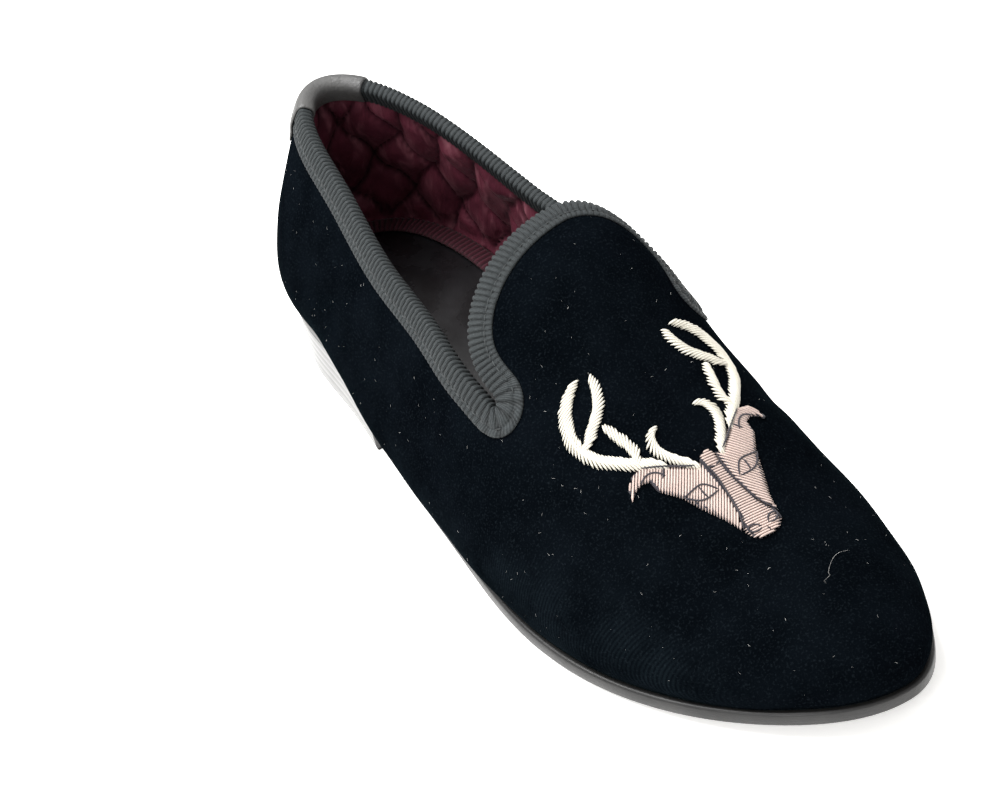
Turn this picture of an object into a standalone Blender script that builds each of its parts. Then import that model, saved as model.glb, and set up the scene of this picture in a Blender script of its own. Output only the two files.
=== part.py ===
"""Right slipper loafer: hollow velvet upper with ribbon-bound topline, tongue, sock, sole, heel and stag.

Sizes are in millimetres and become metres when the meshes are made. s runs from the back of the heel to
the toe, w runs from the outer to the inner side of the foot, z is up from the floor.
"""
import math

import bmesh
import bpy
import numpy as np
from mathutils.kdtree import KDTree

MM = 0.001

# The part's origin on the floor, at the middle of the outline's box.
ORIGIN_S = 149.64
ORIGIN_W = -2.32

# Last: plan outline where the upper meets the sole.
LENGTH = 300.0
TOE_W = 10.0
OUTLINE = [
    # s, outer side, inner side
    (9, -22.2, 23),
    (30, -33.2, 33.5),
    (60, -37.3, 36.6),
    (105, -45.2, 38),
    (145, -49.6, 43),
    (185, -53.2, 47.5),
    (220, -51.5, 48.5),
    (255, -40, 43.5),
    (281, -22.5, 32.5),
]

# Ridge: the crest of the last over the seat, from the heel end to the toe end.
RIDGE_BACK = 25.0
RIDGE_TOE = 252.0
RIDGE = [
    # s, w, height over the seat
    (0, 0, 90),
    (60, 5, 90),
    (105, 9.5, 87.5),
    (132, 11.5, 88),
    (158, 10.5, 90.6),
    (180, 6, 77),
    (200, 3.5, 61.5),
    (225, 4, 44.5),
    (250, 6, 31),
    (275, 8, 25.5),
    (300, 9.5, 22),
]
SECTION = [
    # s, fullness of the shoulder, bulge of the side
    (0, 1.25, 3.2),
    (60, 1.35, 4.8),
    (105, 1.95, 5.6),
    (150, 2.6, 4.8),
    (200, 2.2, 4),
    (250, 2.4, 4),
    (300, 2.5, 3.5),
]
BULGE_Z = 16.0

# Topline, notch and tongue.
TOP = [
    # s, height of the topline, rise of its inner side
    (0, 99, 0),
    (50, 90, 0),
    (100, 79, -3),
    (140, 72.8, -1),
    (165, 67.4, 2),
    (300, 67, 2),
]
NOTCH_S = 179.0
NOTCH_R = 3.0
NOTCH_REACH = 18.0
TONGUE_S = 152.0
TONGUE_POWER = 4.3

# Bottom.
HEEL_H = 22.5
SOLE_T = 5.0
SPRING = 7.0
SEAT_END = 42.0
FLAT_START = 178.0
FLAT_END = 214.0
SOLE_EDGE = 2.0
EDGE_START = 150.0
EDGE_FULL = 206.0
BREAST_S = 86.0
HEEL_TAPER = 1.5

# Soft pieces.
WALL = 2.2
GAP = 0.35
INSOLE_T = 2.5
EDGING_W = 8.0
EDGING_T = 1.0
EDGING_S = 140.0
RIBBON_T = 0.8
RIBBON_GAP = 0.6
RIBBON_EASE = 3.0
RIBBON_OUT = 8.0
RIBBON_IN = 7.0
TAB_HALF = 17.5
TAB_T = 1.1
TAB_OUT = 14.0
TAB_IN = 5.6

# Stag, drawn flat on the vamp: u to the inner side, v towards the tongue, from the crown on the ridge.
STAG_S = 221.3
STAG_T = 1.3
ANTLER_HALF = 2.3
TINE_HALF = 1.9
BEAM = [(9, 4.2), (14, 7.6), (21.5, 12.8), (27.5, 18.2), (29.8, 24.5), (28.6, 32), (25, 38), (19, 41.6)]
TINES = {
    # beam segment it grows from: points from its root to its tip
    4: [(25.6, 27.4), (21.5, 31), (17.4, 35), (15, 40)],
    1: [(16.8, 12.6), (17.4, 18.6), (20.6, 24.4)],
    0: [(9.6, 7.8), (11.4, 12), (9, 16.6)],
}
HEAD_HALF = [(0, 4.6), (3, 4.1), (5.6, 2.4), (8, 0.6), (10.6, 0.4), (13.4, 2.2), (19, 5.8), (23, 7.2),
             (28, 4), (23, 2.2), (17, -1.2), (14.8, -5.5), (12, -12), (8.4, -18.5), (7, -24), (4.6, -27.4),
             (0, -28.6)]


def spline(xs, ys, x):
    """Natural cubic through the knots."""
    xs = np.asarray(xs, float)
    ys = np.asarray(ys, float)
    count = len(xs)
    h = np.diff(xs)
    rows = np.eye(count)
    rhs = np.zeros(count)
    for i in range(1, count - 1):
        rows[i, i - 1:i + 2] = h[i - 1], 2 * (h[i - 1] + h[i]), h[i]
        rhs[i] = 6 * ((ys[i + 1] - ys[i]) / h[i] - (ys[i] - ys[i - 1]) / h[i - 1])
    m = np.linalg.solve(rows, rhs)
    i = np.clip(np.searchsorted(xs, x) - 1, 0, count - 2)
    a = xs[i + 1] - x
    b = x - xs[i]
    d = h[i]
    bend = (m[i] * a ** 3 + m[i + 1] * b ** 3) / (6 * d)
    return bend + (ys[i] / d - m[i] * d / 6) * a + (ys[i + 1] / d - m[i + 1] * d / 6) * b


def column(table, index, x):
    t = np.array(table, float)
    return spline(t[:, 0], t[:, index], np.clip(x, t[0, 0], t[-1, 0]))


def tau_at(s):
    return np.arccos(np.clip(1 - 2 * np.asarray(s, float) / LENGTH, -1, 1)) / np.pi


def station(tau):
    return LENGTH * (1 - np.cos(np.pi * np.asarray(tau, float))) / 2


KNOTS = np.r_[0, tau_at([row[0] for row in OUTLINE]), 1]
OUTER_W = [0] + [row[1] for row in OUTLINE] + [TOE_W]
INNER_W = [0] + [row[2] for row in OUTLINE] + [TOE_W]


def feather(tau, inner):
    """Plan outline point at tau, 0 at the back and 1 at the toe."""
    return station(tau), np.where(inner, spline(KNOTS, INNER_W, tau), spline(KNOTS, OUTER_W, tau))


def outward(tau, inner):
    step = 1e-6
    s0, w0 = feather(np.clip(tau - step, 0, 1), inner)
    s1, w1 = feather(np.clip(tau + step, 0, 1), inner)
    k = np.where(inner, 1, -1) / np.hypot(s1 - s0, w1 - w0)
    return -(w1 - w0) * k, (s1 - s0) * k


def inset(tau, inner, distance):
    s, w = feather(tau, inner)
    ns, nw = outward(tau, inner)
    return s - ns * distance, w - nw * distance


def seat(s):
    """Top of the sole: level seat, arch, level tread, toe spring."""
    t = np.clip((s - SEAT_END) / (FLAT_START - SEAT_END), 0, 1)
    k = np.clip((s - FLAT_END) / (LENGTH - FLAT_END), 0, None)
    return SOLE_T + HEEL_H * (1 - t * t * (3 - 2 * t)) + SPRING * k ** 1.8


def sole_edge(s, more=0.0):
    """Distance in from the outline of the sole's edge: proud round the forefoot, tucked in at waist and heel."""
    t = np.clip((s - EDGE_START) / (EDGE_FULL - EDGE_START), 0, 1)
    return more - SOLE_EDGE * t * t * (3 - 2 * t)


def last(tau, phi):
    """Point of the last: phi runs from 0 at the outer feather line over the ridge to pi at the inner one."""
    tau, phi = np.broadcast_arrays(np.asarray(tau, float), np.asarray(phi, float))
    inner = phi > np.pi / 2
    tau = np.clip(tau, 0, 1)
    sf, wf = feather(tau, inner)
    sr = RIDGE_BACK + (RIDGE_TOE - RIDGE_BACK) * sf / LENGTH
    wr = column(RIDGE, 1, sr)
    rho = np.abs(np.cos(phi))
    s = sr + (sf - sr) * rho
    w = wr + (wf - wr) * rho
    rise = column(RIDGE, 2, s) * np.sqrt(np.maximum(1 - rho ** column(SECTION, 1, sf), 0))
    k = rise / BULGE_Z
    swell = column(SECTION, 2, sf) * k * np.exp(1 - k) * np.minimum(1, 1.5 * rho)
    ns, nw = outward(tau, inner)
    return np.stack([s + ns * swell, w + nw * swell, seat(s) + rise], -1)


def slopes(tau, phi):
    """Tangents along tau and phi, and the outward normal."""
    e = 1e-4
    t0, t1 = np.clip(tau - e, 0, 1), np.clip(tau + e, 0, 1)
    p0, p1 = np.clip(phi - e, 0, np.pi), np.clip(phi + e, 0, np.pi)
    along = (last(t1, phi) - last(t0, phi)) / (t1 - t0)[..., None]
    across = (last(tau, p1) - last(tau, p0)) / (p1 - p0)[..., None]
    n = np.cross(along, across)
    return along, across, n / np.linalg.norm(n, axis=-1, keepdims=True)


def offset(tau, phi, distance):
    return last(tau, phi) + slopes(tau, phi)[2] * distance


def walk(tau, phi, direction, distance):
    """Parameters reached by walking over the last in a direction."""
    steps = max(1, int(math.ceil(distance)))
    for _ in range(steps):
        a, c, n = slopes(tau, phi)
        d = direction - n * np.sum(direction * n, -1, keepdims=True)
        d = d / np.linalg.norm(d, axis=-1, keepdims=True) * (distance / steps)
        aa, ac, cc = np.sum(a * a, -1), np.sum(a * c, -1), np.sum(c * c, -1)
        ra, rc = np.sum(a * d, -1), np.sum(c * d, -1)
        det = aa * cc - ac * ac
        tau = np.clip(tau + (ra * cc - rc * ac) / det, 0, 1)
        phi = phi + (rc * aa - ra * ac) / det
    return tau, phi


def mirror_phi(phi, inner):
    return np.pi - phi if inner else phi


def raw_topline(tau, inner):
    low = np.zeros(np.shape(tau))
    high = np.full(np.shape(tau), np.pi / 2)
    for _ in range(32):
        mid = (low + high) / 2
        p = last(tau, mirror_phi(mid, inner))
        rise = np.interp(p[..., 0], [row[0] for row in TOP], [row[2] for row in TOP])
        under = p[..., 2] < column(TOP, 1, p[..., 0]) + (rise if inner else 0)
        low = np.where(under, mid, low)
        high = np.where(under, high, mid)
    return (low + high) / 2


NOTCH_TAU = float(tau_at(NOTCH_S))


def notch_gap(s, inner, notch_phi):
    """Angle that rounds the end of the notch."""
    y = np.clip(NOTCH_S - s, 0, NOTCH_REACH)
    arc = NOTCH_R * np.sqrt(1 - (1 - np.minimum(y / NOTCH_R, 1)) ** 2) * (1 - y / NOTCH_REACH) ** 2
    across = slopes(np.array([NOTCH_TAU]), mirror_phi(np.array([notch_phi]), inner))[1]
    return arc / np.linalg.norm(across)


def topline(tau, inner):
    notch_phi = float(raw_topline(np.array([NOTCH_TAU]), inner)[0])
    phi = raw_topline(tau, inner) - notch_gap(station(tau), inner, notch_phi)
    return mirror_phi(phi, inner)


def tongue(tau, inner):
    notch_phi = float(raw_topline(np.array([NOTCH_TAU]), inner)[0])
    s = station(tau)
    x = np.clip((NOTCH_S - s) / (NOTCH_S - TONGUE_S), 0, 1)
    rho = math.cos(notch_phi) * (1 - x ** TONGUE_POWER) ** (1 / TONGUE_POWER)
    phi = np.arccos(rho)
    phi = np.minimum(phi + notch_gap(s, inner, notch_phi), np.pi / 2)
    return mirror_phi(phi, inner)


NEAR_NOTCH = np.array([12, 8, 5, 3, 1.6, 0.7, 0.2, 0])
QUARTER_TAU = np.r_[np.linspace(0, float(tau_at(NOTCH_S - 17)), 20), tau_at(NOTCH_S - NEAR_NOTCH)]
TIP_SHARE = 0.9
TONGUE_TAU = np.r_[tau_at(NOTCH_S - NEAR_NOTCH[:1:-1]),
                   tau_at(NOTCH_S - (NOTCH_S - TONGUE_S) * TIP_SHARE * np.linspace(0.33, 1, 6))]
VAMP_TAU = np.linspace(NOTCH_TAU, 1, 24)
LOW_ROWS = np.array([0, 0.07, 0.16, 0.28, 0.42, 0.6, 0.8, 1])
HIGH_ROWS = np.linspace(0, 1, 8)
TOE_PHI = 0.9


def tongue_end(inner):
    """Points of the blunt end of the tongue, from its side edge to the ridge."""
    start = math.cos(float(mirror_phi(tongue(TONGUE_TAU[-1:], inner), inner)[0]))
    notch = math.cos(float(raw_topline(np.array([NOTCH_TAU]), inner)[0]))
    rho = start * (1 - HIGH_ROWS)
    x = (1 - (rho / notch) ** TONGUE_POWER) ** (1 / TONGUE_POWER)
    return tau_at(NOTCH_S - (NOTCH_S - TONGUE_S) * x), mirror_phi(np.arccos(rho), inner)


def edge_path():
    """Closed run of the cut edge: back, outer topline, notch, tongue, inner notch, inner topline."""
    half = []
    for inner in (False, True):
        end_tau, end_phi = tongue_end(inner)
        tau = np.r_[QUARTER_TAU, TONGUE_TAU[1:], end_tau[1:]]
        phi = np.r_[topline(QUARTER_TAU, inner), tongue(TONGUE_TAU[1:], inner), end_phi[1:]]
        half.append((tau, phi))
    return np.r_[half[0][0], half[1][0][-2:0:-1]], np.r_[half[0][1], half[1][1][-2:0:-1]]


class Body:
    """Points and faces of one piece, in millimetres."""

    def __init__(self):
        self.points = []
        self.faces = []

    def grid(self, block, closed_rows=False, closed_columns=False):
        """Quads over an array of points, rows by columns."""
        base = len(self.points)
        rows, columns = block.shape[:2]
        self.points.extend(block.reshape(-1, 3))
        for i in range(rows if closed_rows else rows - 1):
            for j in range(columns if closed_columns else columns - 1):
                k, m = (i + 1) % rows, (j + 1) % columns
                self.faces.append([base + i * columns + j, base + k * columns + j,
                                   base + k * columns + m, base + i * columns + m])
        return base

    def cap(self, indices):
        self.faces.append(list(indices))


def shell_body(body, normals, thick):
    """Closed wall between a surface and its copy moved along the normals."""
    tree = KDTree(len(body.points))
    for i, p in enumerate(body.points):
        tree.insert(p, i)
    tree.balance()
    first = [min(hit[1] for hit in tree.find_range(p, 0.02)) for p in body.points]
    keys = {i: k for k, i in enumerate(sorted(set(first)))}
    place = [keys[i] for i in first]
    count = len(keys)
    points = np.zeros((2 * count, 3))
    for i, p, n in zip(place, body.points, normals):
        points[i] = p
        points[count + i] = p + n * thick
    faces = []
    for face in body.faces:
        run = list(dict.fromkeys(place[i] for i in face))
        if len(run) > 2:
            faces.append(run)
    sides = {(f[i - 1], f[i]) for f in faces for i in range(len(f))}
    wall = Body()
    wall.points = list(points)
    wall.faces = faces + [[count + i for i in f[::-1]] for f in faces]
    wall.faces += [[b, a, count + a, count + b] for a, b in sides if (b, a) not in sides]
    return wall


def upper_body():
    body = Body()
    normals = []
    for inner in (False, True):
        foot = math.pi if inner else 0.0
        top = topline(QUARTER_TAU, inner)
        notch_phi = top[-1]
        quarter = foot + (top - foot)[:, None] * LOW_ROWS
        toe_phi = mirror_phi(TOE_PHI, inner)
        split = notch_phi + (toe_phi - notch_phi) * (VAMP_TAU - NOTCH_TAU) / (1 - NOTCH_TAU)
        low = foot + (split - foot)[:, None] * LOW_ROWS
        high = split[:, None] + (math.pi / 2 - split)[:, None] * HIGH_ROWS
        edge = tongue(TONGUE_TAU, inner)
        flap = edge[:, None] + (math.pi / 2 - edge)[:, None] * HIGH_ROWS
        end_tau, end_phi = tongue_end(inner)
        flap_tau = np.vstack([end_tau, np.repeat(TONGUE_TAU[::-1, None], len(HIGH_ROWS), 1)])
        flap = np.vstack([end_phi, flap[::-1]])
        for tau, phi in ((QUARTER_TAU[:, None], quarter), (VAMP_TAU[:, None], low), (VAMP_TAU[:, None], high),
                         (flap_tau, flap)):
            tau = np.broadcast_to(tau, phi.shape)
            turn = slice(None, None, -1 if inner else 1)
            block = last(tau, phi)
            block[..., 2] += GAP
            body.grid(block[:, turn])
            normals.extend(slopes(tau, phi)[2][:, turn].reshape(-1, 3))
    return shell_body(body, normals, -WALL)


def slab_body(tau, edge, bottom, top):
    """Plate between two height functions over the outline, set in from it by edge(s) at the bottom and top."""
    body = Body()
    columns = []
    for inner, height, distance in ((False, bottom, edge[0]), (True, bottom, edge[0]), (True, top, edge[1]),
                                    (False, top, edge[1])):
        s, w = inset(tau, np.full(len(tau), inner), distance(station(tau)))
        columns.append(np.stack([s, w, height(s)], -1))
    block = np.stack(columns, 1)
    base = body.grid(block, closed_columns=True)
    if tau[-1] < 1:
        last_row = base + 4 * (len(tau) - 1)
        body.cap([last_row + i for i in range(4)])
    return body


def edging_body():
    tau = np.linspace(0, float(tau_at(EDGING_S)), 22)
    runs = []
    for distance, lift in ((WALL + 1.0, 0.0), (WALL + 1.0, EDGING_T), (WALL + 1.0 + EDGING_W, EDGING_T),
                           (WALL + 1.0 + EDGING_W, 0.0)):
        sides = []
        for inner, t in ((False, tau[::-1]), (True, tau[1:])):
            s, w = inset(t, np.full(len(t), inner), distance)
            z = seat(s) + 2 * GAP + INSOLE_T + lift
            sides.append(np.stack([s, w, z], -1))
        runs.append(np.concatenate(sides))
    block = np.stack(runs, 1)
    body = Body()
    base = body.grid(block, closed_columns=True)
    end = base + 4 * (len(block) - 1)
    body.cap([base + 3, base + 2, base + 1, base])
    body.cap([end, end + 1, end + 2, end + 3])
    return body


def fold_block(tau, phi, section, closed):
    """Sweep of a section along the cut edge. Section points are distance in from the edge, height off it."""
    points = last(tau, phi)
    normal = slopes(tau, phi)[2]
    if closed:
        run = np.roll(points, -1, 0) - np.roll(points, 1, 0)
    else:
        run = np.gradient(points, axis=0)
    run = run / np.linalg.norm(run, axis=1, keepdims=True)
    into = np.cross(run, normal)
    if closed:
        gap = np.linalg.norm(points[:, None] - points[None], axis=-1)
        into = np.exp(-(gap / RIBBON_EASE) ** 2) @ into
        into = into - normal * np.sum(into * normal, axis=1, keepdims=True)
    into = into / np.linalg.norm(into, axis=1, keepdims=True)
    rows = []
    for reach, height in section:
        if reach > 0:
            t, p = walk(tau, phi, into, reach)
            rows.append(offset(t, p, height))
        else:
            rows.append(points + into * reach + normal * height)
    block = np.stack(rows, 1)
    block[..., 2] += GAP
    return block


def ribbon_section():
    g, t = RIBBON_GAP, RIBBON_T
    inside = [(RIBBON_OUT, g), (4, g), (0.3, g), (-g, -0.25 * WALL), (-g, -0.75 * WALL), (0.3, -WALL - g),
              (3.5, -WALL - g), (RIBBON_IN, -WALL - g)]
    outside = [(RIBBON_IN, -WALL - g - t), (3.5, -WALL - g - t), (-0.1, -WALL - g - t),
               (-g - 0.75 * t, -WALL - 0.25), (-g - t, -0.5 * WALL), (-g - 0.75 * t, 0.25), (-0.1, g + t),
               (4, g + t), (RIBBON_OUT, g + t)]
    return inside + outside


def tab_section():
    g = RIBBON_GAP + RIBBON_T + GAP
    t = TAB_T
    low = -WALL - g
    pairs = [
        # inside of the leather, outside of the leather
        ((TAB_OUT, GAP), (TAB_OUT, GAP + t)),
        ((9.6, GAP + 0.3), (9.6, GAP + 0.4 + t)),
        ((8.6, g), (8.6, g + 0.9 * t)),
        ((4, g), (4, g + t)),
        ((-0.2, g), (-0.2, g + t)),
        ((-0.8 * g, 0.6 * g), (-0.8 * g - 0.7 * t, 0.6 * g + 0.7 * t)),
        ((-g, 0.1), (-g - t, 0.2)),
        ((-g, -WALL - 0.1), (-g - t, -WALL - 0.2)),
        ((-0.8 * g, -WALL - 0.6 * g), (-0.8 * g - 0.7 * t, -WALL - 0.6 * g - 0.7 * t)),
        ((-0.2, low), (-0.2, low - t)),
        ((2.8, low), (2.8, low - t)),
        ((TAB_IN, low), (TAB_IN, low - t)),
    ]
    return [pair[0] for pair in pairs] + [pair[1] for pair in pairs[::-1]]


def binding_body():
    tau, phi = edge_path()
    body = Body()
    body.grid(fold_block(tau, phi, ribbon_section(), True), closed_rows=True, closed_columns=True)
    return body


def tab_body():
    fine = np.linspace(0, 0.3, 200)
    sides = []
    for inner in (True, False):
        p = last(fine, topline(fine, inner))
        length = np.r_[0, np.cumsum(np.linalg.norm(np.diff(p, axis=0), axis=1))]
        t = np.interp(np.linspace(0, TAB_HALF, 8), length, fine)
        sides.append((t, topline(t, inner)))
    tau = np.r_[sides[0][0][:0:-1], sides[1][0]]
    phi = np.r_[sides[0][1][:0:-1], sides[1][1]]
    section = tab_section()
    body = Body()
    base = body.grid(fold_block(tau, phi, section, False), closed_columns=True)
    count = len(section)
    half = count // 2
    for row in (0, len(tau) - 1):
        first = base + row * count
        for i in range(half - 1):
            quad = [first + i, first + i + 1, first + count - 2 - i, first + count - 1 - i]
            body.cap(quad[::-1] if row == 0 else quad)
    return body


def on_vamp(flat):
    """Parameters of the points of the vamp under a flat drawing laid on the crown."""
    flat = np.asarray(flat, float)
    tau0 = float(tau_at((STAG_S - RIDGE_BACK) / (RIDGE_TOE - RIDGE_BACK) * LENGTH))
    here, top = np.array([tau0]), np.array([math.pi / 2])
    centre = last(here, top)[0]
    ahead = last(here + 0.004, top)[0] - last(here - 0.004, top)[0]
    v = -ahead / np.linalg.norm(ahead)
    u = np.array([0.0, 1.0, 0.0])
    u = u - v * (u @ v)
    u = u / np.linalg.norm(u)
    lift = np.cross(v, u)
    tau = np.full(len(flat), tau0)
    phi = np.full(len(flat), math.pi / 2) + 1e-3
    for share in np.r_[np.linspace(0.1, 1, 12), np.ones(6)]:
        goal = centre + share * (flat[:, :1] * u + flat[:, 1:] * v)
        a, c, _ = slopes(tau, phi)
        miss = goal - last(tau, phi)
        frame = np.stack([a, c, np.broadcast_to(lift, a.shape)], -1)
        move = np.linalg.solve(frame, miss[..., None])[..., 0]
        tau = np.clip(tau + np.clip(move[:, 0], -0.03, 0.03), 0.05, 0.98)
        phi = np.clip(phi + np.clip(move[:, 1], -0.3, 0.3), 0.05, math.pi - 0.05)
    return tau, phi


def side_points(points, half, side, taper=True):
    p = np.asarray(points, float)
    d = np.gradient(p, axis=0)
    d = d / np.linalg.norm(d, axis=1, keepdims=True)
    width = np.full(len(p), half)
    if taper:
        width[-1] *= 0.45
    return p + np.stack([-d[:, 1], d[:, 0]], -1) * width[:, None] * side


def antler_outline():
    """Outline of the inner antler: up the outer edge of the beam, back down past the tines."""
    outer = side_points(BEAM, ANTLER_HALF, -1)
    inner = side_points(BEAM, ANTLER_HALF, 1)
    run = list(outer)
    for i in range(len(BEAM) - 1, -1, -1):
        run.append(inner[i])
        if i - 1 in TINES:
            tine = TINES[i - 1]
            run.extend(side_points(tine, TINE_HALF, -1))
            run.extend(side_points(tine, TINE_HALF, 1)[::-1])
    return [(float(a), float(b)) for a, b in run]


def emboss(outline):
    """Thin raised piece of the vamp over a flat outline."""
    bm = bmesh.new()
    bm.faces.new([bm.verts.new((a, b, 0)) for a, b in outline])
    bm.normal_update()
    bmesh.ops.triangulate(bm, faces=bm.faces[:], ngon_method='EAR_CLIP')
    for _ in range(3):
        long_edges = [e for e in bm.edges if e.calc_length() > 5.0]
        if not long_edges:
            break
        bmesh.ops.subdivide_edges(bm, edges=long_edges, cuts=1)
        bmesh.ops.triangulate(bm, faces=bm.faces[:])
    tau, phi = on_vamp([(v.co.x, v.co.y) for v in bm.verts])
    normals = slopes(tau, phi)[2]
    points = last(tau, phi) + normals * GAP
    points[:, 2] += GAP
    bm.verts.index_update()
    body = Body()
    body.points = list(points)
    body.faces = [[v.index for v in f.verts] for f in bm.faces]
    bm.free()
    return shell_body(body, normals, STAG_T)


def material(name, colour, roughness, metallic=0.0):
    mat = bpy.data.materials.new(name)
    mat.use_nodes = True
    shader = mat.node_tree.nodes["Principled BSDF"]
    shader.inputs["Base Color"].default_value = (*colour, 1)
    shader.inputs["Roughness"].default_value = roughness
    shader.inputs["Metallic"].default_value = metallic
    return mat


def add_object(name, body, mat, collection, parent):
    p = np.array(body.points)
    x = (p[:, 1] - ORIGIN_W) * MM
    y = (ORIGIN_S - p[:, 0]) * MM
    z = p[:, 2] * MM
    mesh = bpy.data.meshes.new(name)
    mesh.from_pydata(np.stack([x, y, z], -1).tolist(), [], body.faces)
    bm = bmesh.new()
    bm.from_mesh(mesh)
    bmesh.ops.remove_doubles(bm, verts=bm.verts[:], dist=1e-5)
    bmesh.ops.dissolve_degenerate(bm, edges=bm.edges[:], dist=1e-7)
    bmesh.ops.recalc_face_normals(bm, faces=bm.faces[:])
    bm.to_mesh(mesh)
    bm.free()
    mesh.shade_smooth()
    mesh.materials.append(mat)
    ob = bpy.data.objects.new(name, mesh)
    collection.objects.link(ob)
    ob.parent = parent
    return ob


def main():
    for ob in list(bpy.data.objects):
        bpy.data.objects.remove(ob)
    collection = bpy.data.collections.new("slipper_loafer")
    bpy.context.scene.collection.children.link(collection)
    root = bpy.data.objects.new("shoe", None)
    collection.objects.link(root)

    full = np.unique(np.r_[np.linspace(0, 1, 40), tau_at([FLAT_START, FLAT_END])])
    seat_tau = np.linspace(0, float(tau_at(BREAST_S)), 16)
    right = antler_outline()
    left = [(-a, b) for a, b in right][::-1]
    head = HEAD_HALF[::-1] + [(-a, b) for a, b in HEAD_HALF[1:-1]]
    board = (lambda s: WALL + 0.9 + s * 0,) * 2
    heel_edge = (lambda s: sole_edge(s, HEEL_TAPER), lambda s: sole_edge(s, 0.4))
    velvet = (0.012, 0.015, 0.020)
    thread = (0.86, 0.80, 0.70)
    pieces = [
        # name, body, colour, roughness
        ("outsole", slab_body(full, (sole_edge, sole_edge), lambda s: seat(s) - SOLE_T, seat),
         (0.035, 0.036, 0.038), 0.35),
        ("heel", slab_body(seat_tau, heel_edge, lambda s: s * 0, lambda s: seat(s) - SOLE_T - GAP),
         (0.03, 0.03, 0.032), 0.35),
        ("insole", slab_body(full, board, lambda s: seat(s) + GAP, lambda s: seat(s) + GAP + INSOLE_T),
         (0.03, 0.03, 0.034), 0.5),
        ("insole_edging", edging_body(), (0.10, 0.02, 0.04), 0.75),
        ("upper", upper_body(), velvet, 0.95),
        ("collar_binding", binding_body(), (0.075, 0.088, 0.095), 0.7),
        ("heel_tab", tab_body(), (0.09, 0.09, 0.09), 0.45),
        ("stag_head", emboss(head), thread, 0.5),
        ("stag_antler_right", emboss(right), thread, 0.45),
        ("stag_antler_left", emboss(left), thread, 0.45),
    ]
    for name, body, colour, roughness in pieces:
        add_object(name, body, material(name, colour, roughness), collection, root)


main()
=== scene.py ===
# %% [markdown]
# # Dressing a velvet slipper loafer
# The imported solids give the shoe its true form. This lesson gives it its cloth, ribbon, leather and
# embroidery. Nothing is moved: every piece is worked out from the same last as the solids.

# %% Load the frame
import math

import bmesh
import bpy
import numpy as np
from mathutils import Matrix, Vector
from mathutils.kdtree import KDTree


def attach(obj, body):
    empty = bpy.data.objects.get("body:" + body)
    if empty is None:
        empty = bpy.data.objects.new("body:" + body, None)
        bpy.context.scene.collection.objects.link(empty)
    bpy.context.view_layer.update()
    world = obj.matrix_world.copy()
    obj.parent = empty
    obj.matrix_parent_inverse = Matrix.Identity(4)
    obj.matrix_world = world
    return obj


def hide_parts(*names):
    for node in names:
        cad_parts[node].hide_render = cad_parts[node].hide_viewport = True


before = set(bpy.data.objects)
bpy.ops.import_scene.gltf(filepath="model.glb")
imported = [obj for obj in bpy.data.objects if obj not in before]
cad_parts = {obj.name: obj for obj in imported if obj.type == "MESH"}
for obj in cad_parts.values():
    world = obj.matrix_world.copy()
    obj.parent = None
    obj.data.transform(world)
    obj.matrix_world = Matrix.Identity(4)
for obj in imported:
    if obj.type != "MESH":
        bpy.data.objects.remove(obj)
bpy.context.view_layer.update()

MM = 0.001
print("solids:", sorted(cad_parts))

# %% [markdown]
# ## The last
# A shoe is built over a last, a solid foot shape. Ours is a formula: an outline on the sole, a ridge over
# the foot, and sections that run from one to the other. Sizes are millimetres. s runs from heel to toe, w
# to the inner side, z up. Every soft piece below is a strip of this one surface, lifted off it a little.

# %% Tables of the last
ORIGIN_S = 149.64
ORIGIN_W = -2.32
LENGTH = 300.0
TOE_W = 10.0
OUTLINE = [
    # s, outer side, inner side
    (9, -22.2, 23),
    (30, -33.2, 33.5),
    (60, -37.3, 36.6),
    (105, -45.2, 38),
    (145, -49.6, 43),
    (185, -53.2, 47.5),
    (220, -51.5, 48.5),
    (255, -40, 43.5),
    (281, -22.5, 32.5),
]
RIDGE_BACK = 25.0
RIDGE_TOE = 252.0
RIDGE = [
    # s, w, height over the seat
    (0, 0, 90),
    (60, 5, 90),
    (105, 9.5, 87.5),
    (132, 11.5, 88),
    (158, 10.5, 90.6),
    (180, 6, 77),
    (200, 3.5, 61.5),
    (225, 4, 44.5),
    (250, 6, 31),
    (275, 8, 25.5),
    (300, 9.5, 22),
]
SECTION = [
    # s, fullness of the shoulder, bulge of the side
    (0, 1.25, 3.2),
    (60, 1.35, 4.8),
    (105, 1.95, 5.6),
    (150, 2.6, 4.8),
    (200, 2.2, 4),
    (250, 2.4, 4),
    (300, 2.5, 3.5),
]
BULGE_Z = 16.0
TOP = [
    # s, height of the topline, rise of its inner side
    (0, 99, 0),
    (50, 90, 0),
    (100, 79, -3),
    (140, 72.8, -1),
    (165, 67.4, 2),
    (300, 67, 2),
]
NOTCH_S = 179.0
NOTCH_R = 3.0
NOTCH_REACH = 18.0
TONGUE_S = 152.0
TONGUE_POWER = 4.3
TIP_SHARE = 0.9
TIP_ROUND = 1.9
TIP_SPREAD = 0.12
TOE_PHI = 0.9
HEEL_H = 22.5
SOLE_T = 5.0
SPRING = 7.0
SEAT_END = 42.0
FLAT_START = 178.0
FLAT_END = 214.0
SOLE_EDGE = 2.0
EDGE_START = 150.0
EDGE_FULL = 206.0
BREAST_S = 86.0
HEEL_TAPER = 1.5
WALL = 2.2
GAP = 0.35
INSOLE_T = 2.5
print("last:", LENGTH, "mm long, from", len(OUTLINE), "rows of outline and", len(RIDGE), "of ridge")


# %% The last as a formula
def unit(vectors):
    """Vectors scaled to length one."""
    return vectors / np.linalg.norm(vectors, axis=-1, keepdims=True)


def running(points):
    """Length along a run of points, from the first of them."""
    return np.r_[0, np.cumsum(np.linalg.norm(np.diff(points, axis=0), axis=1))]


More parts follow.
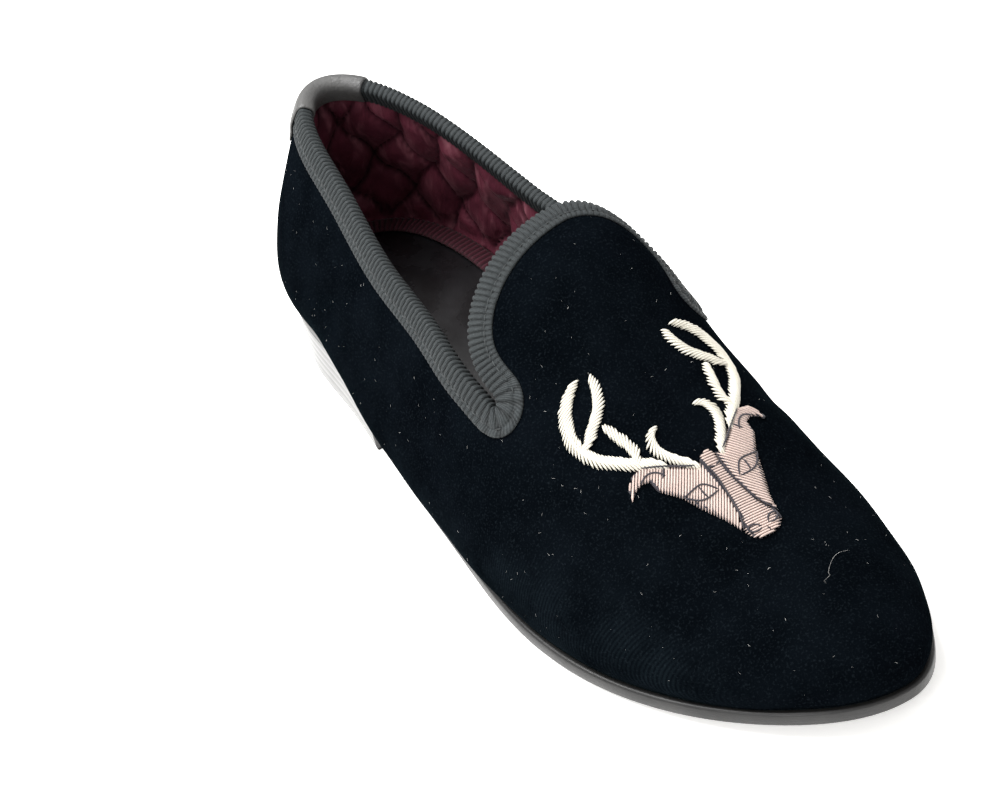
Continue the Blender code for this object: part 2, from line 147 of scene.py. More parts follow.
def smooth_step(x, low, high):
    """Rises smoothly from 0 at low to 1 at high."""
    t = np.clip((x - low) / (high - low), 0, 1)
    return t * t * (3 - 2 * t)


def spline(xs, ys, x):
    """Natural cubic through the knots."""
    xs = np.asarray(xs, float)
    ys = np.asarray(ys, float)
    count = len(xs)
    h = np.diff(xs)
    rows = np.eye(count)
    rhs = np.zeros(count)
    for i in range(1, count - 1):
        rows[i, i - 1:i + 2] = h[i - 1], 2 * (h[i - 1] + h[i]), h[i]
        rhs[i] = 6 * ((ys[i + 1] - ys[i]) / h[i] - (ys[i] - ys[i - 1]) / h[i - 1])
    m = np.linalg.solve(rows, rhs)
    i = np.clip(np.searchsorted(xs, x) - 1, 0, count - 2)
    a = xs[i + 1] - x
    b = x - xs[i]
    d = h[i]
    bend = (m[i] * a ** 3 + m[i + 1] * b ** 3) / (6 * d)
    return bend + (ys[i] / d - m[i] * d / 6) * a + (ys[i + 1] / d - m[i + 1] * d / 6) * b


def column(table, index, x):
    """Smooth value of one column of a table at x."""
    t = np.array(table, float)
    return spline(t[:, 0], t[:, index], np.clip(x, t[0, 0], t[-1, 0]))


def tau_at(s):
    """Parameter of a station, 0 at the back and 1 at the toe, crowded at both ends."""
    return np.arccos(np.clip(1 - 2 * np.asarray(s, float) / LENGTH, -1, 1)) / np.pi


def station(tau):
    """Station of a parameter, in millimetres from the back."""
    return LENGTH * (1 - np.cos(np.pi * np.asarray(tau, float))) / 2


KNOTS = np.r_[0, tau_at([row[0] for row in OUTLINE]), 1]
OUTER_W = [0] + [row[1] for row in OUTLINE] + [TOE_W]
INNER_W = [0] + [row[2] for row in OUTLINE] + [TOE_W]


def feather(tau, inner):
    """Plan outline point at tau, 0 at the back and 1 at the toe."""
    return station(tau), np.where(inner, spline(KNOTS, INNER_W, tau), spline(KNOTS, OUTER_W, tau))


def outward(tau, inner):
    """Outward direction of the plan outline."""
    step = 1e-6
    s0, w0 = feather(np.clip(tau - step, 0, 1), inner)
    s1, w1 = feather(np.clip(tau + step, 0, 1), inner)
    k = np.where(inner, 1, -1) / np.hypot(s1 - s0, w1 - w0)
    return -(w1 - w0) * k, (s1 - s0) * k


def inset(tau, inner, distance):
    """Plan point at a distance in from the outline."""
    s, w = feather(tau, inner)
    ns, nw = outward(tau, inner)
    return s - ns * distance, w - nw * distance


def seat(s):
    """Top of the sole: level seat, arch, level tread, toe spring."""
    arch = 1 - smooth_step(s, SEAT_END, FLAT_START)
    k = np.clip((s - FLAT_END) / (LENGTH - FLAT_END), 0, None)
    return SOLE_T + HEEL_H * arch + SPRING * k ** 1.8


def sole_edge(s):
    """How far the sole stands out from the outline, which is only round the forefoot."""
    return SOLE_EDGE * smooth_step(s, EDGE_START, EDGE_FULL)


def last(tau, phi):
    """Point of the last. Phi runs from 0 at the outer feather line, over the ridge, to pi inside."""
    tau, phi = np.broadcast_arrays(np.asarray(tau, float), np.asarray(phi, float))
    inner = phi > np.pi / 2
    tau = np.clip(tau, 0, 1)
    sf, wf = feather(tau, inner)
    sr = RIDGE_BACK + (RIDGE_TOE - RIDGE_BACK) * sf / LENGTH
    wr = column(RIDGE, 1, sr)
    rho = np.abs(np.cos(phi))
    s = sr + (sf - sr) * rho
    w = wr + (wf - wr) * rho
    rise = column(RIDGE, 2, s) * np.sqrt(np.maximum(1 - rho ** column(SECTION, 1, sf), 0))
    k = rise / BULGE_Z
    swell = column(SECTION, 2, sf) * k * np.exp(1 - k) * np.minimum(1, 1.5 * rho)
    ns, nw = outward(tau, inner)
    return np.stack([s + ns * swell, w + nw * swell, seat(s) + rise], -1)


print("toe of the last:", last(1.0, 0.0).round(1))


# %% Walking over the last
def slopes(tau, phi):
    """Tangents along tau and phi, and the outward normal."""
    e = 1e-4
    t0, t1 = np.clip(tau - e, 0, 1), np.clip(tau + e, 0, 1)
    p0, p1 = np.clip(phi - e, 0, np.pi), np.clip(phi + e, 0, np.pi)
    along = (last(t1, phi) - last(t0, phi)) / (t1 - t0)[..., None]
    across = (last(tau, p1) - last(tau, p0)) / (p1 - p0)[..., None]
    return along, across, unit(np.cross(along, across))


def skin(tau, phi, height):
    """Point over the last at a height along its normal, with the upper's small lift off the sole."""
    p = last(tau, phi) + slopes(tau, phi)[2] * np.asarray(height, float)[..., None]
    return p + np.array([0, 0, GAP])


def walk(tau, phi, direction, distance):
    """Parameters reached by walking over the last in a direction."""
    steps = max(1, int(math.ceil(distance)))
    for _ in range(steps):
        a, c, n = slopes(tau, phi)
        d = direction - n * np.sum(direction * n, -1, keepdims=True)
        d = unit(d) * (distance / steps)
        aa, ac, cc = np.sum(a * a, -1), np.sum(a * c, -1), np.sum(c * c, -1)
        ra, rc = np.sum(a * d, -1), np.sum(c * d, -1)
        det = aa * cc - ac * ac
        tau = np.clip(tau + (ra * cc - rc * ac) / det, 0, 1)
        phi = phi + (rc * aa - ra * ac) / det
    return tau, phi


crown = slopes(np.array([0.6]), np.array([np.pi / 2]))[2][0]
print("outward direction on the crown of the vamp:", crown.round(2))

# %% [markdown]
# ## The cut edge
# The velvet is cut along a topline that drops from the heel to a small round notch on each side, then
# runs up round the tongue. The ribbon, its stitches and the quilt all measure their distance from this
# edge.

# %% Topline, notch and tongue
NOTCH_TAU = float(tau_at(NOTCH_S))


def mirror_phi(phi, inner):
    """Angle on the other side of the ridge, for the inner half."""
    return np.pi - phi if inner else phi


def raw_topline(tau, inner):
    """Angle at which a section reaches the height of the topline, by halving."""
    low = np.zeros(np.shape(tau))
    high = np.full(np.shape(tau), np.pi / 2)
    for _ in range(32):
        mid = (low + high) / 2
        p = last(tau, mirror_phi(mid, inner))
        rise = np.interp(p[..., 0], [row[0] for row in TOP], [row[2] for row in TOP])
        under = p[..., 2] < column(TOP, 1, p[..., 0]) + (rise if inner else 0)
        low = np.where(under, mid, low)
        high = np.where(under, high, mid)
    return (low + high) / 2


NOTCH_PHI = {inner: float(raw_topline(np.array([NOTCH_TAU]), inner)[0]) for inner in (False, True)}


def notch_gap(s, inner):
    """Angle that rounds the end of the notch."""
    y = np.clip(NOTCH_S - s, 0, NOTCH_REACH)
    arc = NOTCH_R * np.sqrt(1 - (1 - np.minimum(y / NOTCH_R, 1)) ** 2) * (1 - y / NOTCH_REACH) ** 2
    across = slopes(np.array([NOTCH_TAU]), mirror_phi(np.array([NOTCH_PHI[inner]]), inner))[1]
    return arc / np.linalg.norm(across)


def topline(tau, inner):
    """Angle of the cut edge along the quarter."""
    return mirror_phi(raw_topline(tau, inner) - notch_gap(station(tau), inner), inner)


def tongue(tau, inner):
    """Angle of the cut edge along the side of the tongue."""
    s = station(tau)
    x = np.clip((NOTCH_S - s) / (NOTCH_S - TONGUE_S), 0, 1)
    rho = math.cos(NOTCH_PHI[inner]) * (1 - x ** TONGUE_POWER) ** (1 / TONGUE_POWER)
    phi = np.minimum(np.arccos(rho) + notch_gap(s, inner), np.pi / 2)
    return mirror_phi(phi, inner)


NEAR_NOTCH = 12 * np.linspace(1, 0, 18) ** 2
QUARTER_TAU = np.r_[np.linspace(0, float(tau_at(NOTCH_S - 13)), 110), tau_at(NOTCH_S - NEAR_NOTCH)]
TONGUE_TAU = np.r_[tau_at(NOTCH_S - NEAR_NOTCH[:4:-1]),
                   tau_at(NOTCH_S - (NOTCH_S - TONGUE_S) * TIP_SHARE * np.linspace(0.26, 1, 20))]
VAMP_TAU = np.linspace(NOTCH_TAU, 1, 110)
LOW_ROWS = np.linspace(0, 1, 42) ** 1.25
HIGH_ROWS = np.linspace(0, 1, 36)


def tongue_end(inner, rows):
    """Points of the blunt end of the tongue, from its side edge to the ridge."""
    start = math.cos(float(mirror_phi(tongue(TONGUE_TAU[-1:], inner), inner)[0]))
    rho = start * (1 - rows)
    x = (1 - (rho / math.cos(NOTCH_PHI[inner])) ** TONGUE_POWER) ** (1 / TONGUE_POWER)
    blunt = TIP_ROUND * (np.hypot(rho, TIP_SPREAD) - rho) / TIP_SPREAD
    return tau_at(NOTCH_S - (NOTCH_S - TONGUE_S) * x + blunt), mirror_phi(np.arccos(rho), inner)


def edge_path(pitch):
    """Closed run of the cut edge in even steps: tau, phi and the running length."""
    half = []
    for inner in (False, True):
        end_tau, end_phi = tongue_end(inner, HIGH_ROWS)
        tau = np.r_[QUARTER_TAU, TONGUE_TAU[1:], end_tau[1:]]
        phi = np.r_[topline(QUARTER_TAU, inner), tongue(TONGUE_TAU[1:], inner), end_phi[1:]]
        half.append((tau, phi))
    tau = np.r_[half[0][0], half[1][0][-2::-1]]
    phi = np.r_[half[0][1], half[1][1][-2::-1]]
    run = running(last(tau, phi))
    count = int(round(run[-1] / pitch))
    even = np.arange(count) * run[-1] / count
    return np.interp(even, run, tau), np.interp(even, run, phi), even


EDGE_STEP = 0.2
EDGE_TAU, EDGE_PHI, EDGE_RUN = edge_path(EDGE_STEP)
EDGE_POINTS = skin(EDGE_TAU, EDGE_PHI, 0.0)
print("cut edge is", round(float(EDGE_RUN[-1])), "mm long")


# %% [markdown]
# ## Small tools for meshes
# Blender keeps a mesh as points and faces. These helpers turn arrays of points into meshes, close a
# surface into a wall, and sweep a section along a line. All of them work in millimetres.

# %% Mesh tools
def to_frame(p):
    """Points of the last, in millimetres, as points of the frame, in metres."""
    return np.stack([p[..., 1] - ORIGIN_W, ORIGIN_S - p[..., 0], p[..., 2]], -1) * MM


def grid_faces(rows, columns, closed_rows=False, closed_columns=False):
    i, j = np.meshgrid(np.arange(rows if closed_rows else rows - 1),
                       np.arange(columns if closed_columns else columns - 1), indexing="ij")
    k, m = (i + 1) % rows, (j + 1) % columns
    corners = [i * columns + j, k * columns + j, k * columns + m, i * columns + m]
    return np.stack(corners, -1).reshape(-1, 4)


def grid_uv(u, v):
    """Corner coordinates for the faces of a grid, from running lengths along rows and columns."""
    i, j = np.meshgrid(np.arange(len(u) - 1), np.arange(len(v) - 1), indexing="ij")
    corners = [np.stack([u[i + a], v[j + b]], -1) for a, b in ((0, 0), (1, 0), (1, 1), (0, 1))]
    return np.stack(corners, 2).reshape(-1, 2)


def add_object(name, data):
    ob = bpy.data.objects.new(name, data)
    bpy.context.scene.collection.objects.link(ob)
    return ob


def mark(ob, name, values):
    """Stores a number on each point, for a material to read."""
    store = ob.data.attributes.new(name, 'FLOAT', 'POINT')
    store.data.foreach_set("value", np.asarray(values, np.float32).ravel())


def make_piece(name, points, faces, mat, uv=None, merge=True, closed=True):
    """Object from points in millimetres. Corner coordinates go to the map named UVMap."""
    mesh = bpy.data.meshes.new(name)
    mesh.from_pydata(to_frame(np.asarray(points)).tolist(), [], [list(map(int, f)) for f in faces])
    if uv is not None:
        mesh.uv_layers.new(name="UVMap").data.foreach_set("uv", np.asarray(uv, np.float32).ravel())
    if closed:
        bm = bmesh.new()
        bm.from_mesh(mesh)
        if merge:
            bmesh.ops.remove_doubles(bm, verts=bm.verts[:], dist=2e-6)
            bmesh.ops.dissolve_degenerate(bm, edges=bm.edges[:], dist=1e-7)
        bmesh.ops.recalc_face_normals(bm, faces=bm.faces[:])
        bm.to_mesh(mesh)
        bm.free()
    mesh.shade_smooth()
    mesh.materials.append(mat)
    return add_object(name, mesh)


def loft(name, block, mat, caps=(), ring=False, **more):
    """Piece from rows of points, closed round each row, and in a ring or with the caps given."""
    faces = grid_faces(*block.shape[:2], ring, True).tolist() + list(caps)
    return make_piece(name, block.reshape(-1, 3), faces, mat, **more)


def settle(ob):
    """Turns an object's live modifiers into a plain mesh."""
    graph = bpy.context.evaluated_depsgraph_get()
    mesh = bpy.data.meshes.new_from_object(ob.evaluated_get(graph))
    ob.modifiers.clear()
    ob.data = mesh
    return ob


def wear_piece(ob, slot, *nodes):
    """Seats a finished piece on the shoe and hides the solids that it stands for."""
    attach(ob, "root")
    if nodes:
        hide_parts(*nodes)
    print(ob.name, len(ob.data.polygons), "faces")
    return ob


print("a grid of 3 by 4 points has", len(grid_faces(3, 4)), "faces")


# %% Net over the upper
def search_tree(points):
    tree = KDTree(len(points))
    for i, p in enumerate(points):
        tree.insert(p, i)
    tree.balance()
    return tree


def upper_net():
    """Welded net over the whole upper: tau, phi and faces."""
    taus, phis, faces = [], [], []
    base = 0
    for inner in (False, True):
        foot = math.pi if inner else 0.0
        top = topline(QUARTER_TAU, inner)
        toe_phi = mirror_phi(TOE_PHI, inner)
        split = top[-1] + (toe_phi - top[-1]) * (VAMP_TAU - NOTCH_TAU) / (1 - NOTCH_TAU)
        edge = tongue(TONGUE_TAU, inner)[::-1]
        end_tau, end_phi = tongue_end(inner, HIGH_ROWS)
        flap_tau = np.vstack([end_tau, np.repeat(TONGUE_TAU[::-1, None], len(HIGH_ROWS), 1)])
        flap = np.vstack([end_phi, edge[:, None] + (math.pi / 2 - edge)[:, None] * HIGH_ROWS])
        blocks = [
            (QUARTER_TAU[:, None], foot + (top - foot)[:, None] * LOW_ROWS),
            (VAMP_TAU[:, None], foot + (split - foot)[:, None] * LOW_ROWS),
            (VAMP_TAU[:, None], split[:, None] + (math.pi / 2 - split)[:, None] * HIGH_ROWS),
            (flap_tau, flap),
        ]
        for tau, phi in blocks:
            turn = slice(None, None, -1 if inner else 1)
            taus.append(np.broadcast_to(tau, phi.shape)[:, turn].ravel())
            phis.append(phi[:, turn].ravel())
            faces.append(grid_faces(*phi.shape) + base)
            base += phi.size
    tau, phi = np.concatenate(taus), np.concatenate(phis)
    points = last(tau, phi)
    tree = search_tree(points)
    first = np.array([min(hit[1] for hit in tree.find_range(p, 0.02)) for p in points])
    keep, place = np.unique(first, return_inverse=True)
    clean = []
    for face in place[np.concatenate(faces)].tolist():
        run = list(dict.fromkeys(face))
        if len(run) > 2:
            clean.append(run)
    return tau[keep], phi[keep], clean


def wall(front, back, faces):
    """Closed wall between two copies of a net."""
    count = len(front)
    sides = {(f[i - 1], f[i]) for f in faces for i in range(len(f))}
    rim = [[b, a, count + a, count + b] for a, b in sorted(sides) if (b, a) not in sides]
    return np.vstack([front, back]), faces + [[count + i for i in f[::-1]] for f in faces] + rim


NET_TAU, NET_PHI, NET_FACES = upper_net()
NET_POINTS = skin(NET_TAU, NET_PHI, 0.0)
edge_tree = search_tree(EDGE_POINTS)
NET_EDGE = np.array([edge_tree.find(p)[2] for p in NET_POINTS])
print("net over the last:", len(NET_TAU), "points")


# %% [markdown]
# ## Finishes that several materials share
# Grain, yarn and cloud are effects that more than one finish needs, so each is one node group with named
# inputs. Yarn draws fine twisted threads from a map in millimetres. Grain draws the pebbles and pores of
# leather. Cloud draws slow changes of shade, as wear and handling leave on cloth.

# %% Node tools
def feed(tree, socket, value):
    """Links an output to a socket, or sets the socket's own value."""
    if isinstance(value, bpy.types.NodeSocket):
        tree.links.new(value, socket)
    else:
        socket.default_value = value


def put(tree, kind, settings=None, **sockets):
    """Adds a node. Sockets go by name, with underscores for spaces, and hold a value or an output."""
    node = tree.nodes.new(kind)
    for key, value in (settings or {}).items():
        setattr(node, key, value)
    for key, value in sockets.items():
        feed(tree, node.inputs[key.replace("_", " ")], value)
    return node


def calc(tree, operation, a, b=0.0):
    node = tree.nodes.new("ShaderNodeMath")
    node.operation = operation
    feed(tree, node.inputs[0], a)
    feed(tree, node.inputs[1], b)
    return node.outputs[0]


def times(tree, a, b):
    return calc(tree, 'MULTIPLY', a, b)


def plus(tree, a, b):
    return calc(tree, 'ADD', a, b)


def noise(tree, vector, scale, detail, **sockets):
    node = put(tree, "ShaderNodeTexNoise", Vector=vector, Scale=scale, Detail=detail, **sockets)
    return node.outputs["Fac"]


def blend_colour(tree, factor, a, b):
    """Mix of two colours. Each is a triple or an output."""
    node = tree.nodes.new("ShaderNodeMix")
    node.data_type = 'RGBA'
    feed(tree, node.inputs[0], factor)
    for index, value in ((6, a), (7, b)):
        feed(tree, node.inputs[index], (*value, 1) if isinstance(value, tuple) else value)
    return node.outputs[2]


def ramp(tree, value, low, high, to_low=0.0, to_high=1.0):
    node = put(tree, "ShaderNodeMapRange", {"interpolation_type": 'SMOOTHSTEP'}, Value=value,
               From_Min=low, From_Max=high, To_Min=to_low, To_Max=to_high)
    return node.outputs["Result"]


def new_group(name, inputs, outputs, kind="Shader"):
    """Node group with its sockets. Returns it, its given values and its results."""
    tree = bpy.data.node_groups.new(name, kind + "NodeTree")
    for label, sort, value in inputs:
        socket = tree.interface.new_socket(label, in_out='INPUT', socket_type="NodeSocket" + sort)
        if value is not None:
            socket.default_value = value
    for label, sort in outputs:
        tree.interface.new_socket(label, in_out='OUTPUT', socket_type="NodeSocket" + sort)
    return tree, tree.nodes.new("NodeGroupInput").outputs, tree.nodes.new("NodeGroupOutput").inputs


print("node tools:", [tool.__name__ for tool in (put, calc, times, plus, noise, blend_colour, ramp)])


# %% Shared groups
def grain_group():
    tree, given, out = new_group("Grain", [("Vector", "Vector", None), ("Scale", "Float", 900.0)],
                                 [("Height", "Float"), ("Shade", "Float")])
    at, scale = given["Vector"], given["Scale"]
    pebble = put(tree, "ShaderNodeTexVoronoi", {"feature": 'SMOOTH_F1'}, Vector=at, Scale=scale)
    pores = noise(tree, at, times(tree, scale, 2.7), 3.0)
    broad = noise(tree, at, times(tree, scale, 0.05), 4.0)
    tree.links.new(plus(tree, times(tree, pebble.outputs["Distance"], 0.6), pores), out["Height"])
    tree.links.new(broad, out["Shade"])
    return tree


def yarn_group():
    tree, given, out = new_group("Yarn", [("Vector", "Vector", None), ("Pitch", "Float", 0.4),
                                          ("Slant", "Float", 1.0)],
                                 [("Height", "Float"), ("Shade", "Float")])
    xyz = put(tree, "ShaderNodeSeparateXYZ", Vector=given["Vector"])
    lean = plus(tree, xyz.outputs["X"], times(tree, xyz.outputs["Y"], given["Slant"]))
    turn = times(tree, calc(tree, 'DIVIDE', lean, given["Pitch"]), 2 * math.pi)
    strand = plus(tree, times(tree, calc(tree, 'SINE', turn), 0.5), 0.5)
    fuzz = noise(tree, given["Vector"], 2.2, 4.0)
    tree.links.new(plus(tree, strand, times(tree, fuzz, 0.6)), out["Height"])
    # Shade is light on the crest of each strand and dark between strands: painted light and shade of the
    # twist, mottled by the fuzz.
    tree.links.new(times(tree, plus(tree, strand, 0.5), fuzz), out["Shade"])
    return tree


def cloud_group():
    tree, given, out = new_group("Cloud", [("Vector", "Vector", None), ("Scale", "Float", 40.0)],
                                 [("Shade", "Float"), ("Speck", "Float")])
    slow = noise(tree, given["Vector"], given["Scale"], 5.0, Roughness=0.6)
    speck = noise(tree, given["Vector"], times(tree, given["Scale"], 30.0), 2.0)
    tree.links.new(ramp(tree, slow, 0.3, 0.7), out["Shade"])
    tree.links.new(ramp(tree, speck, 0.66, 0.76), out["Speck"])
    return tree


GRAIN, YARN, CLOUD = grain_group(), yarn_group(), cloud_group()


def use(tree, group, **sockets):
    """Puts a shared group into a material and returns its results."""
    node = tree.nodes.new("ShaderNodeGroup")
    node.node_tree = group
    for key, value in sockets.items():
        feed(tree, node.inputs[key], value)
    return node.outputs


def new_finish(name, **values):
    """New material. Returns it, its tree, its shader and its texture coordinates."""
    mat = bpy.data.materials.new(name)
    mat.use_nodes = True
    tree = mat.node_tree
    shader = tree.nodes["Principled BSDF"]
    for key, value in values.items():
        shader.inputs[key.replace("_", " ")].default_value = value
    return mat, tree, shader, tree.nodes.new("ShaderNodeTexCoord").outputs


def bump(tree, shader, height, distance, strength=1.0):
    node = put(tree, "ShaderNodeBump", Height=height, Distance=distance, Strength=strength)
    tree.links.new(node.outputs["Normal"], shader.inputs["Normal"])


def colour(tree, shader, source):
    tree.links.new(source, shader.inputs["Base Color"])


def rough(tree, shader, source, low, high):
    tree.links.new(ramp(tree, source, 0.0, 1.0, low, high), shader.inputs["Roughness"])


def tell(mat):
    print("finish", mat.name, "has", len(mat.node_tree.nodes), "nodes")


print("shared groups:", GRAIN.name, YARN.name, CLOUD.name)

# %% [markdown]
# ## Velvet
# Velvet is a dense pile that swallows light seen head on and glows a little at the rim. Hair particles
# could draw it, but they cost far more than the sheen of the shader, which gives much the same glow.
# The pile also leans in patches and shows the fine cords of its ground weave, so shade and bump come from
# noise in the shoe's own coordinates. The cords are painted lighter only low on the sides, a painted sheen
# where the rim glows. A few soft troughs are pressed in where the vamp and the waist give, because a
# perfectly smooth upper looks like plastic.

# %% Velvet finish
SHEEN_TINT = (0.40, 0.66, 0.72, 1)


def velvet_finish():
    mat, tree, shader, at = new_finish("velvet", Sheen_Weight=0.016, Sheen_Roughness=0.16,
                                       Sheen_Tint=SHEEN_TINT, Specular_IOR_Level=0.0)
    cloud = use(tree, CLOUD, Vector=at["Object"], Scale=55.0)
    pile = noise(tree, at["Object"], 1500.0, 3.0)
    turned = put(tree, "ShaderNodeMapping", Vector=at["Object"], Rotation=(0.1, 0.0, math.radians(28)))
    cords = put(tree, "ShaderNodeTexWave", {"bands_direction": 'Y'}, Vector=turned.outputs["Vector"],
                Scale=350.0, Distortion=0.6, Detail=1.0)
    base = blend_colour(tree, cloud["Shade"], (0.0009, 0.0014, 0.0021), (0.0017, 0.0026, 0.0038))
    tips = ramp(tree, pile, 0.5, 0.8, 0.0, 0.6)
    nap = blend_colour(tree, tips, base, (0.0078, 0.0110, 0.0140))
    place = put(tree, "ShaderNodeSeparateXYZ", Vector=at["Object"])
    side = ramp(tree, calc(tree, 'ABSOLUTE', place.outputs["X"]), 0.02, 0.045)
    low = times(tree, ramp(tree, place.outputs["Z"], 0.012, 0.040, 0.4, 0.0), side)
    # Painted sheen: the cords are coloured light teal only low on the sides of the upper, where the rim
    # glows. The same mask gives them their relief.
    cord_relief_and_sheen = times(tree, cords.outputs["Fac"], times(tree, cloud["Shade"], low))
    colour(tree, shader, blend_colour(tree, cord_relief_and_sheen, nap, (0.008, 0.013, 0.016)))
    rough(tree, shader, cloud["Shade"], 0.85, 0.95)
    bump(tree, shader, plus(tree, pile, times(tree, cord_relief_and_sheen, 0.3)), 0.0003, 0.55)
    return mat


VELVET = velvet_finish()
tell(VELVET)

# %% Velvet upper with its creases
CREASES = [
    # s and share of the girth at one end, at the other end, depth, half width
    (196, 0.13, 212, 0.30, 0.35, 4.0),
    (204, 0.12, 226, 0.27, 0.25, 4.5),
    (200, 0.87, 214, 0.72, 0.35, 4.0),
    (118, 0.10, 128, 0.24, 0.40, 5.0),
    (138, 0.09, 146, 0.22, 0.35, 5.0),
    (112, 0.90, 124, 0.77, 0.40, 5.0),
    (24, 0.16, 40, 0.20, 0.30, 5.0),
]
VELVET_T = 0.9
VELVET_RIPPLE = 0.45
LASTED_DOWN = 0.55
SMOOTH_RIM = 6.0
SMOOTH_FADE = 8.0


def crease_height(points):
    """Soft troughs with a low ridge on each side."""
    height = np.zeros(len(points))
    for s0, f0, s1, f1, depth, half in CREASES:
        t = np.linspace(0, 1, 24)
        line = skin(tau_at(s0 + (s1 - s0) * t), np.pi * (f0 + (f1 - f0) * t), 0.0)
        gap = np.linalg.norm(points[:, None] - line[None], axis=-1)
        near = gap.min(1)
        fade = np.sin(np.pi * np.clip(t[gap.argmin(1)] * 0.9 + 0.05, 0, 1))
        ridge = 0.5 * np.exp(-((near - 1.7 * half) / half) ** 2)
        height += fade * depth * (ridge - np.exp(-(near / half) ** 2))
    return height


def ripple(points, size, seed):
    """Slow waviness from a few summed waves."""
    draw = np.random.default_rng(seed)
    total = np.zeros(len(points))
    for _ in range(7):
        way = draw.normal(size=3)
        way = unit(way) * 2 * np.pi / draw.uniform(18, 45)
        total += np.sin(points @ way + draw.uniform(0, 6.3))
    return size * total / 7


clear = np.clip((NET_EDGE - SMOOTH_RIM) / SMOOTH_FADE, 0, 1)
velvet_height = (crease_height(NET_POINTS) + ripple(NET_POINTS, VELVET_RIPPLE, 4)) * clear
velvet_front = skin(NET_TAU, NET_PHI, velvet_height)
velvet_back = skin(NET_TAU, NET_PHI, velvet_height * 0.5 - VELVET_T)
at_feather = np.minimum(NET_PHI, np.pi - NET_PHI) < 1e-6
velvet_front[at_feather, 2] -= LASTED_DOWN
velvet_back[at_feather, 2] -= LASTED_DOWN
upper_piece = make_piece("velvet_upper", *wall(velvet_front, velvet_back, NET_FACES), VELVET)
wear_piece(upper_piece, "velvet", "upper")

# %% [markdown]
# ## Quilted lining
# Inside is satin, quilted in diamonds over wadding. Each diamond is a pillow between stitched valleys. A
# bump map would stay flat where the lining is seen along its face, so the pillows are real geometry: the
# net of the last, moved in by a product of two slanted waves that wander a little, as hand sewing does.
# It lies flat under the ribbon and thins out towards the sock. The small pulls beside the valleys are
# bump, and their tops are painted a light pink as painted glints of the satin.

# %% Satin finish
LINING_T = 1.0
QUILT_WIDE = 23.0
QUILT_TALL = 33.0
QUILT_PUFF = 4.6
QUILT_RIM = 6.5
QUILT_FADE = 6.0
QUILT_FOOT = 8.0
PILLOW_POWER = 0.42
VALLEY_HALF = 0.14
LINING_GAP = 0.15
LINING_RIPPLE = 0.9
HAND_SEWN = 5.0


def satin_finish():
    mat, tree, shader, at = new_finish("quilted_satin", Sheen_Weight=0.04, Sheen_Roughness=0.3,
                                       Sheen_Tint=(0.95, 0.45, 0.52, 1), Specular_IOR_Level=0.42,
                                       Specular_Tint=(1.0, 0.55, 0.62, 1))
    cloud = use(tree, CLOUD, Vector=at["Object"], Scale=60.0)
    stretched = put(tree, "ShaderNodeMapping", Vector=at["Object"], Scale=(1.0, 1.0, 0.35))
    pulls = noise(tree, stretched.outputs["Vector"], 170.0, 5.0, Distortion=0.8)
    weave = use(tree, YARN, Vector=at["UV"], Pitch=0.5, Slant=0.4)
    base = blend_colour(tree, cloud["Shade"], (0.052, 0.0100, 0.0180), (0.118, 0.0250, 0.0410))
    # Painted glints: where the pulls rise, the satin is mixed towards a light pink that stands in for
    # light caught on the satin.
    with_painted_glints = blend_colour(tree, ramp(tree, pulls, 0.5, 0.8, 0.0, 0.7), base, (0.33, 0.125, 0.155))
    # Painted shade: the stitched valleys are coloured near black for the shade that falls in them.
    valley_shade = put(tree, "ShaderNodeAttribute", {"attribute_name": "valley_shade"})
    colour(tree, shader, blend_colour(tree, valley_shade.outputs["Fac"], with_painted_glints, (0.010, 0.0022, 0.0045)))
    rough(tree, shader, pulls, 0.34, 0.62)
    bump(tree, shader, plus(tree, pulls, times(tree, weave["Height"], 0.05)), 0.0030, 0.4)
    return mat


SATIN = satin_finish()
tell(SATIN)


# %% Lining pillows
def quilt_lines():
    """Length along the outline and girth over it, for every point of the net."""
    fine = np.linspace(0, 1, 400)
    along = np.zeros(len(NET_TAU))
    girth = np.zeros(len(NET_TAU))
    turn = np.linspace(0, 1, 60)
    for inner in (False, True):
        here = (NET_PHI > np.pi / 2) == inner
        s, w = feather(fine, inner)
        run = running(np.stack([s, w], -1))
        along[here] = np.interp(NET_TAU[here], fine, run) * (1 if inner else -1)
        share = mirror_phi(NET_PHI[here], inner)
        arcs = last(NET_TAU[here][:, None], mirror_phi(share[:, None] * turn, inner))
        girth[here] = np.linalg.norm(np.diff(arcs, axis=1), axis=-1).sum(1)
    return along, girth


quilt_along, quilt_girth = quilt_lines()
across = (quilt_along + ripple(NET_POINTS, HAND_SEWN, 21)) / QUILT_WIDE
upward = (quilt_girth + ripple(NET_POINTS, HAND_SEWN, 22)) / QUILT_TALL
slant_a = np.abs(np.sin(np.pi * (across + upward)))
slant_b = np.abs(np.sin(np.pi * (across - upward)))
flat_rim = np.clip((NET_EDGE - QUILT_RIM) / QUILT_FADE, 0, 1) * np.clip(quilt_girth / QUILT_FOOT, 0.25, 1)
pillow = (slant_a * slant_b) ** PILLOW_POWER
lining_front = skin(NET_TAU, NET_PHI, -VELVET_T - LINING_GAP)
lining_height = -VELVET_T - LINING_GAP - LINING_T * 0.5 - flat_rim * QUILT_PUFF * pillow
lining_height -= flat_rim * np.abs(ripple(NET_POINTS, LINING_RIPPLE, 9))
lining_back = skin(NET_TAU, NET_PHI, lining_height)
lining_front[at_feather, 2] -= LASTED_DOWN
lining_back[at_feather, 2] -= LASTED_DOWN
lining_points, lining_faces = wall(lining_front, lining_back, NET_FACES)
lining_uv = np.tile(np.stack([quilt_along, quilt_girth], -1), (2, 1))
corner = np.concatenate([np.array(f) for f in lining_faces])
lining = make_piece("quilted_lining", lining_points, lining_faces, SATIN, lining_uv[corner], merge=False)
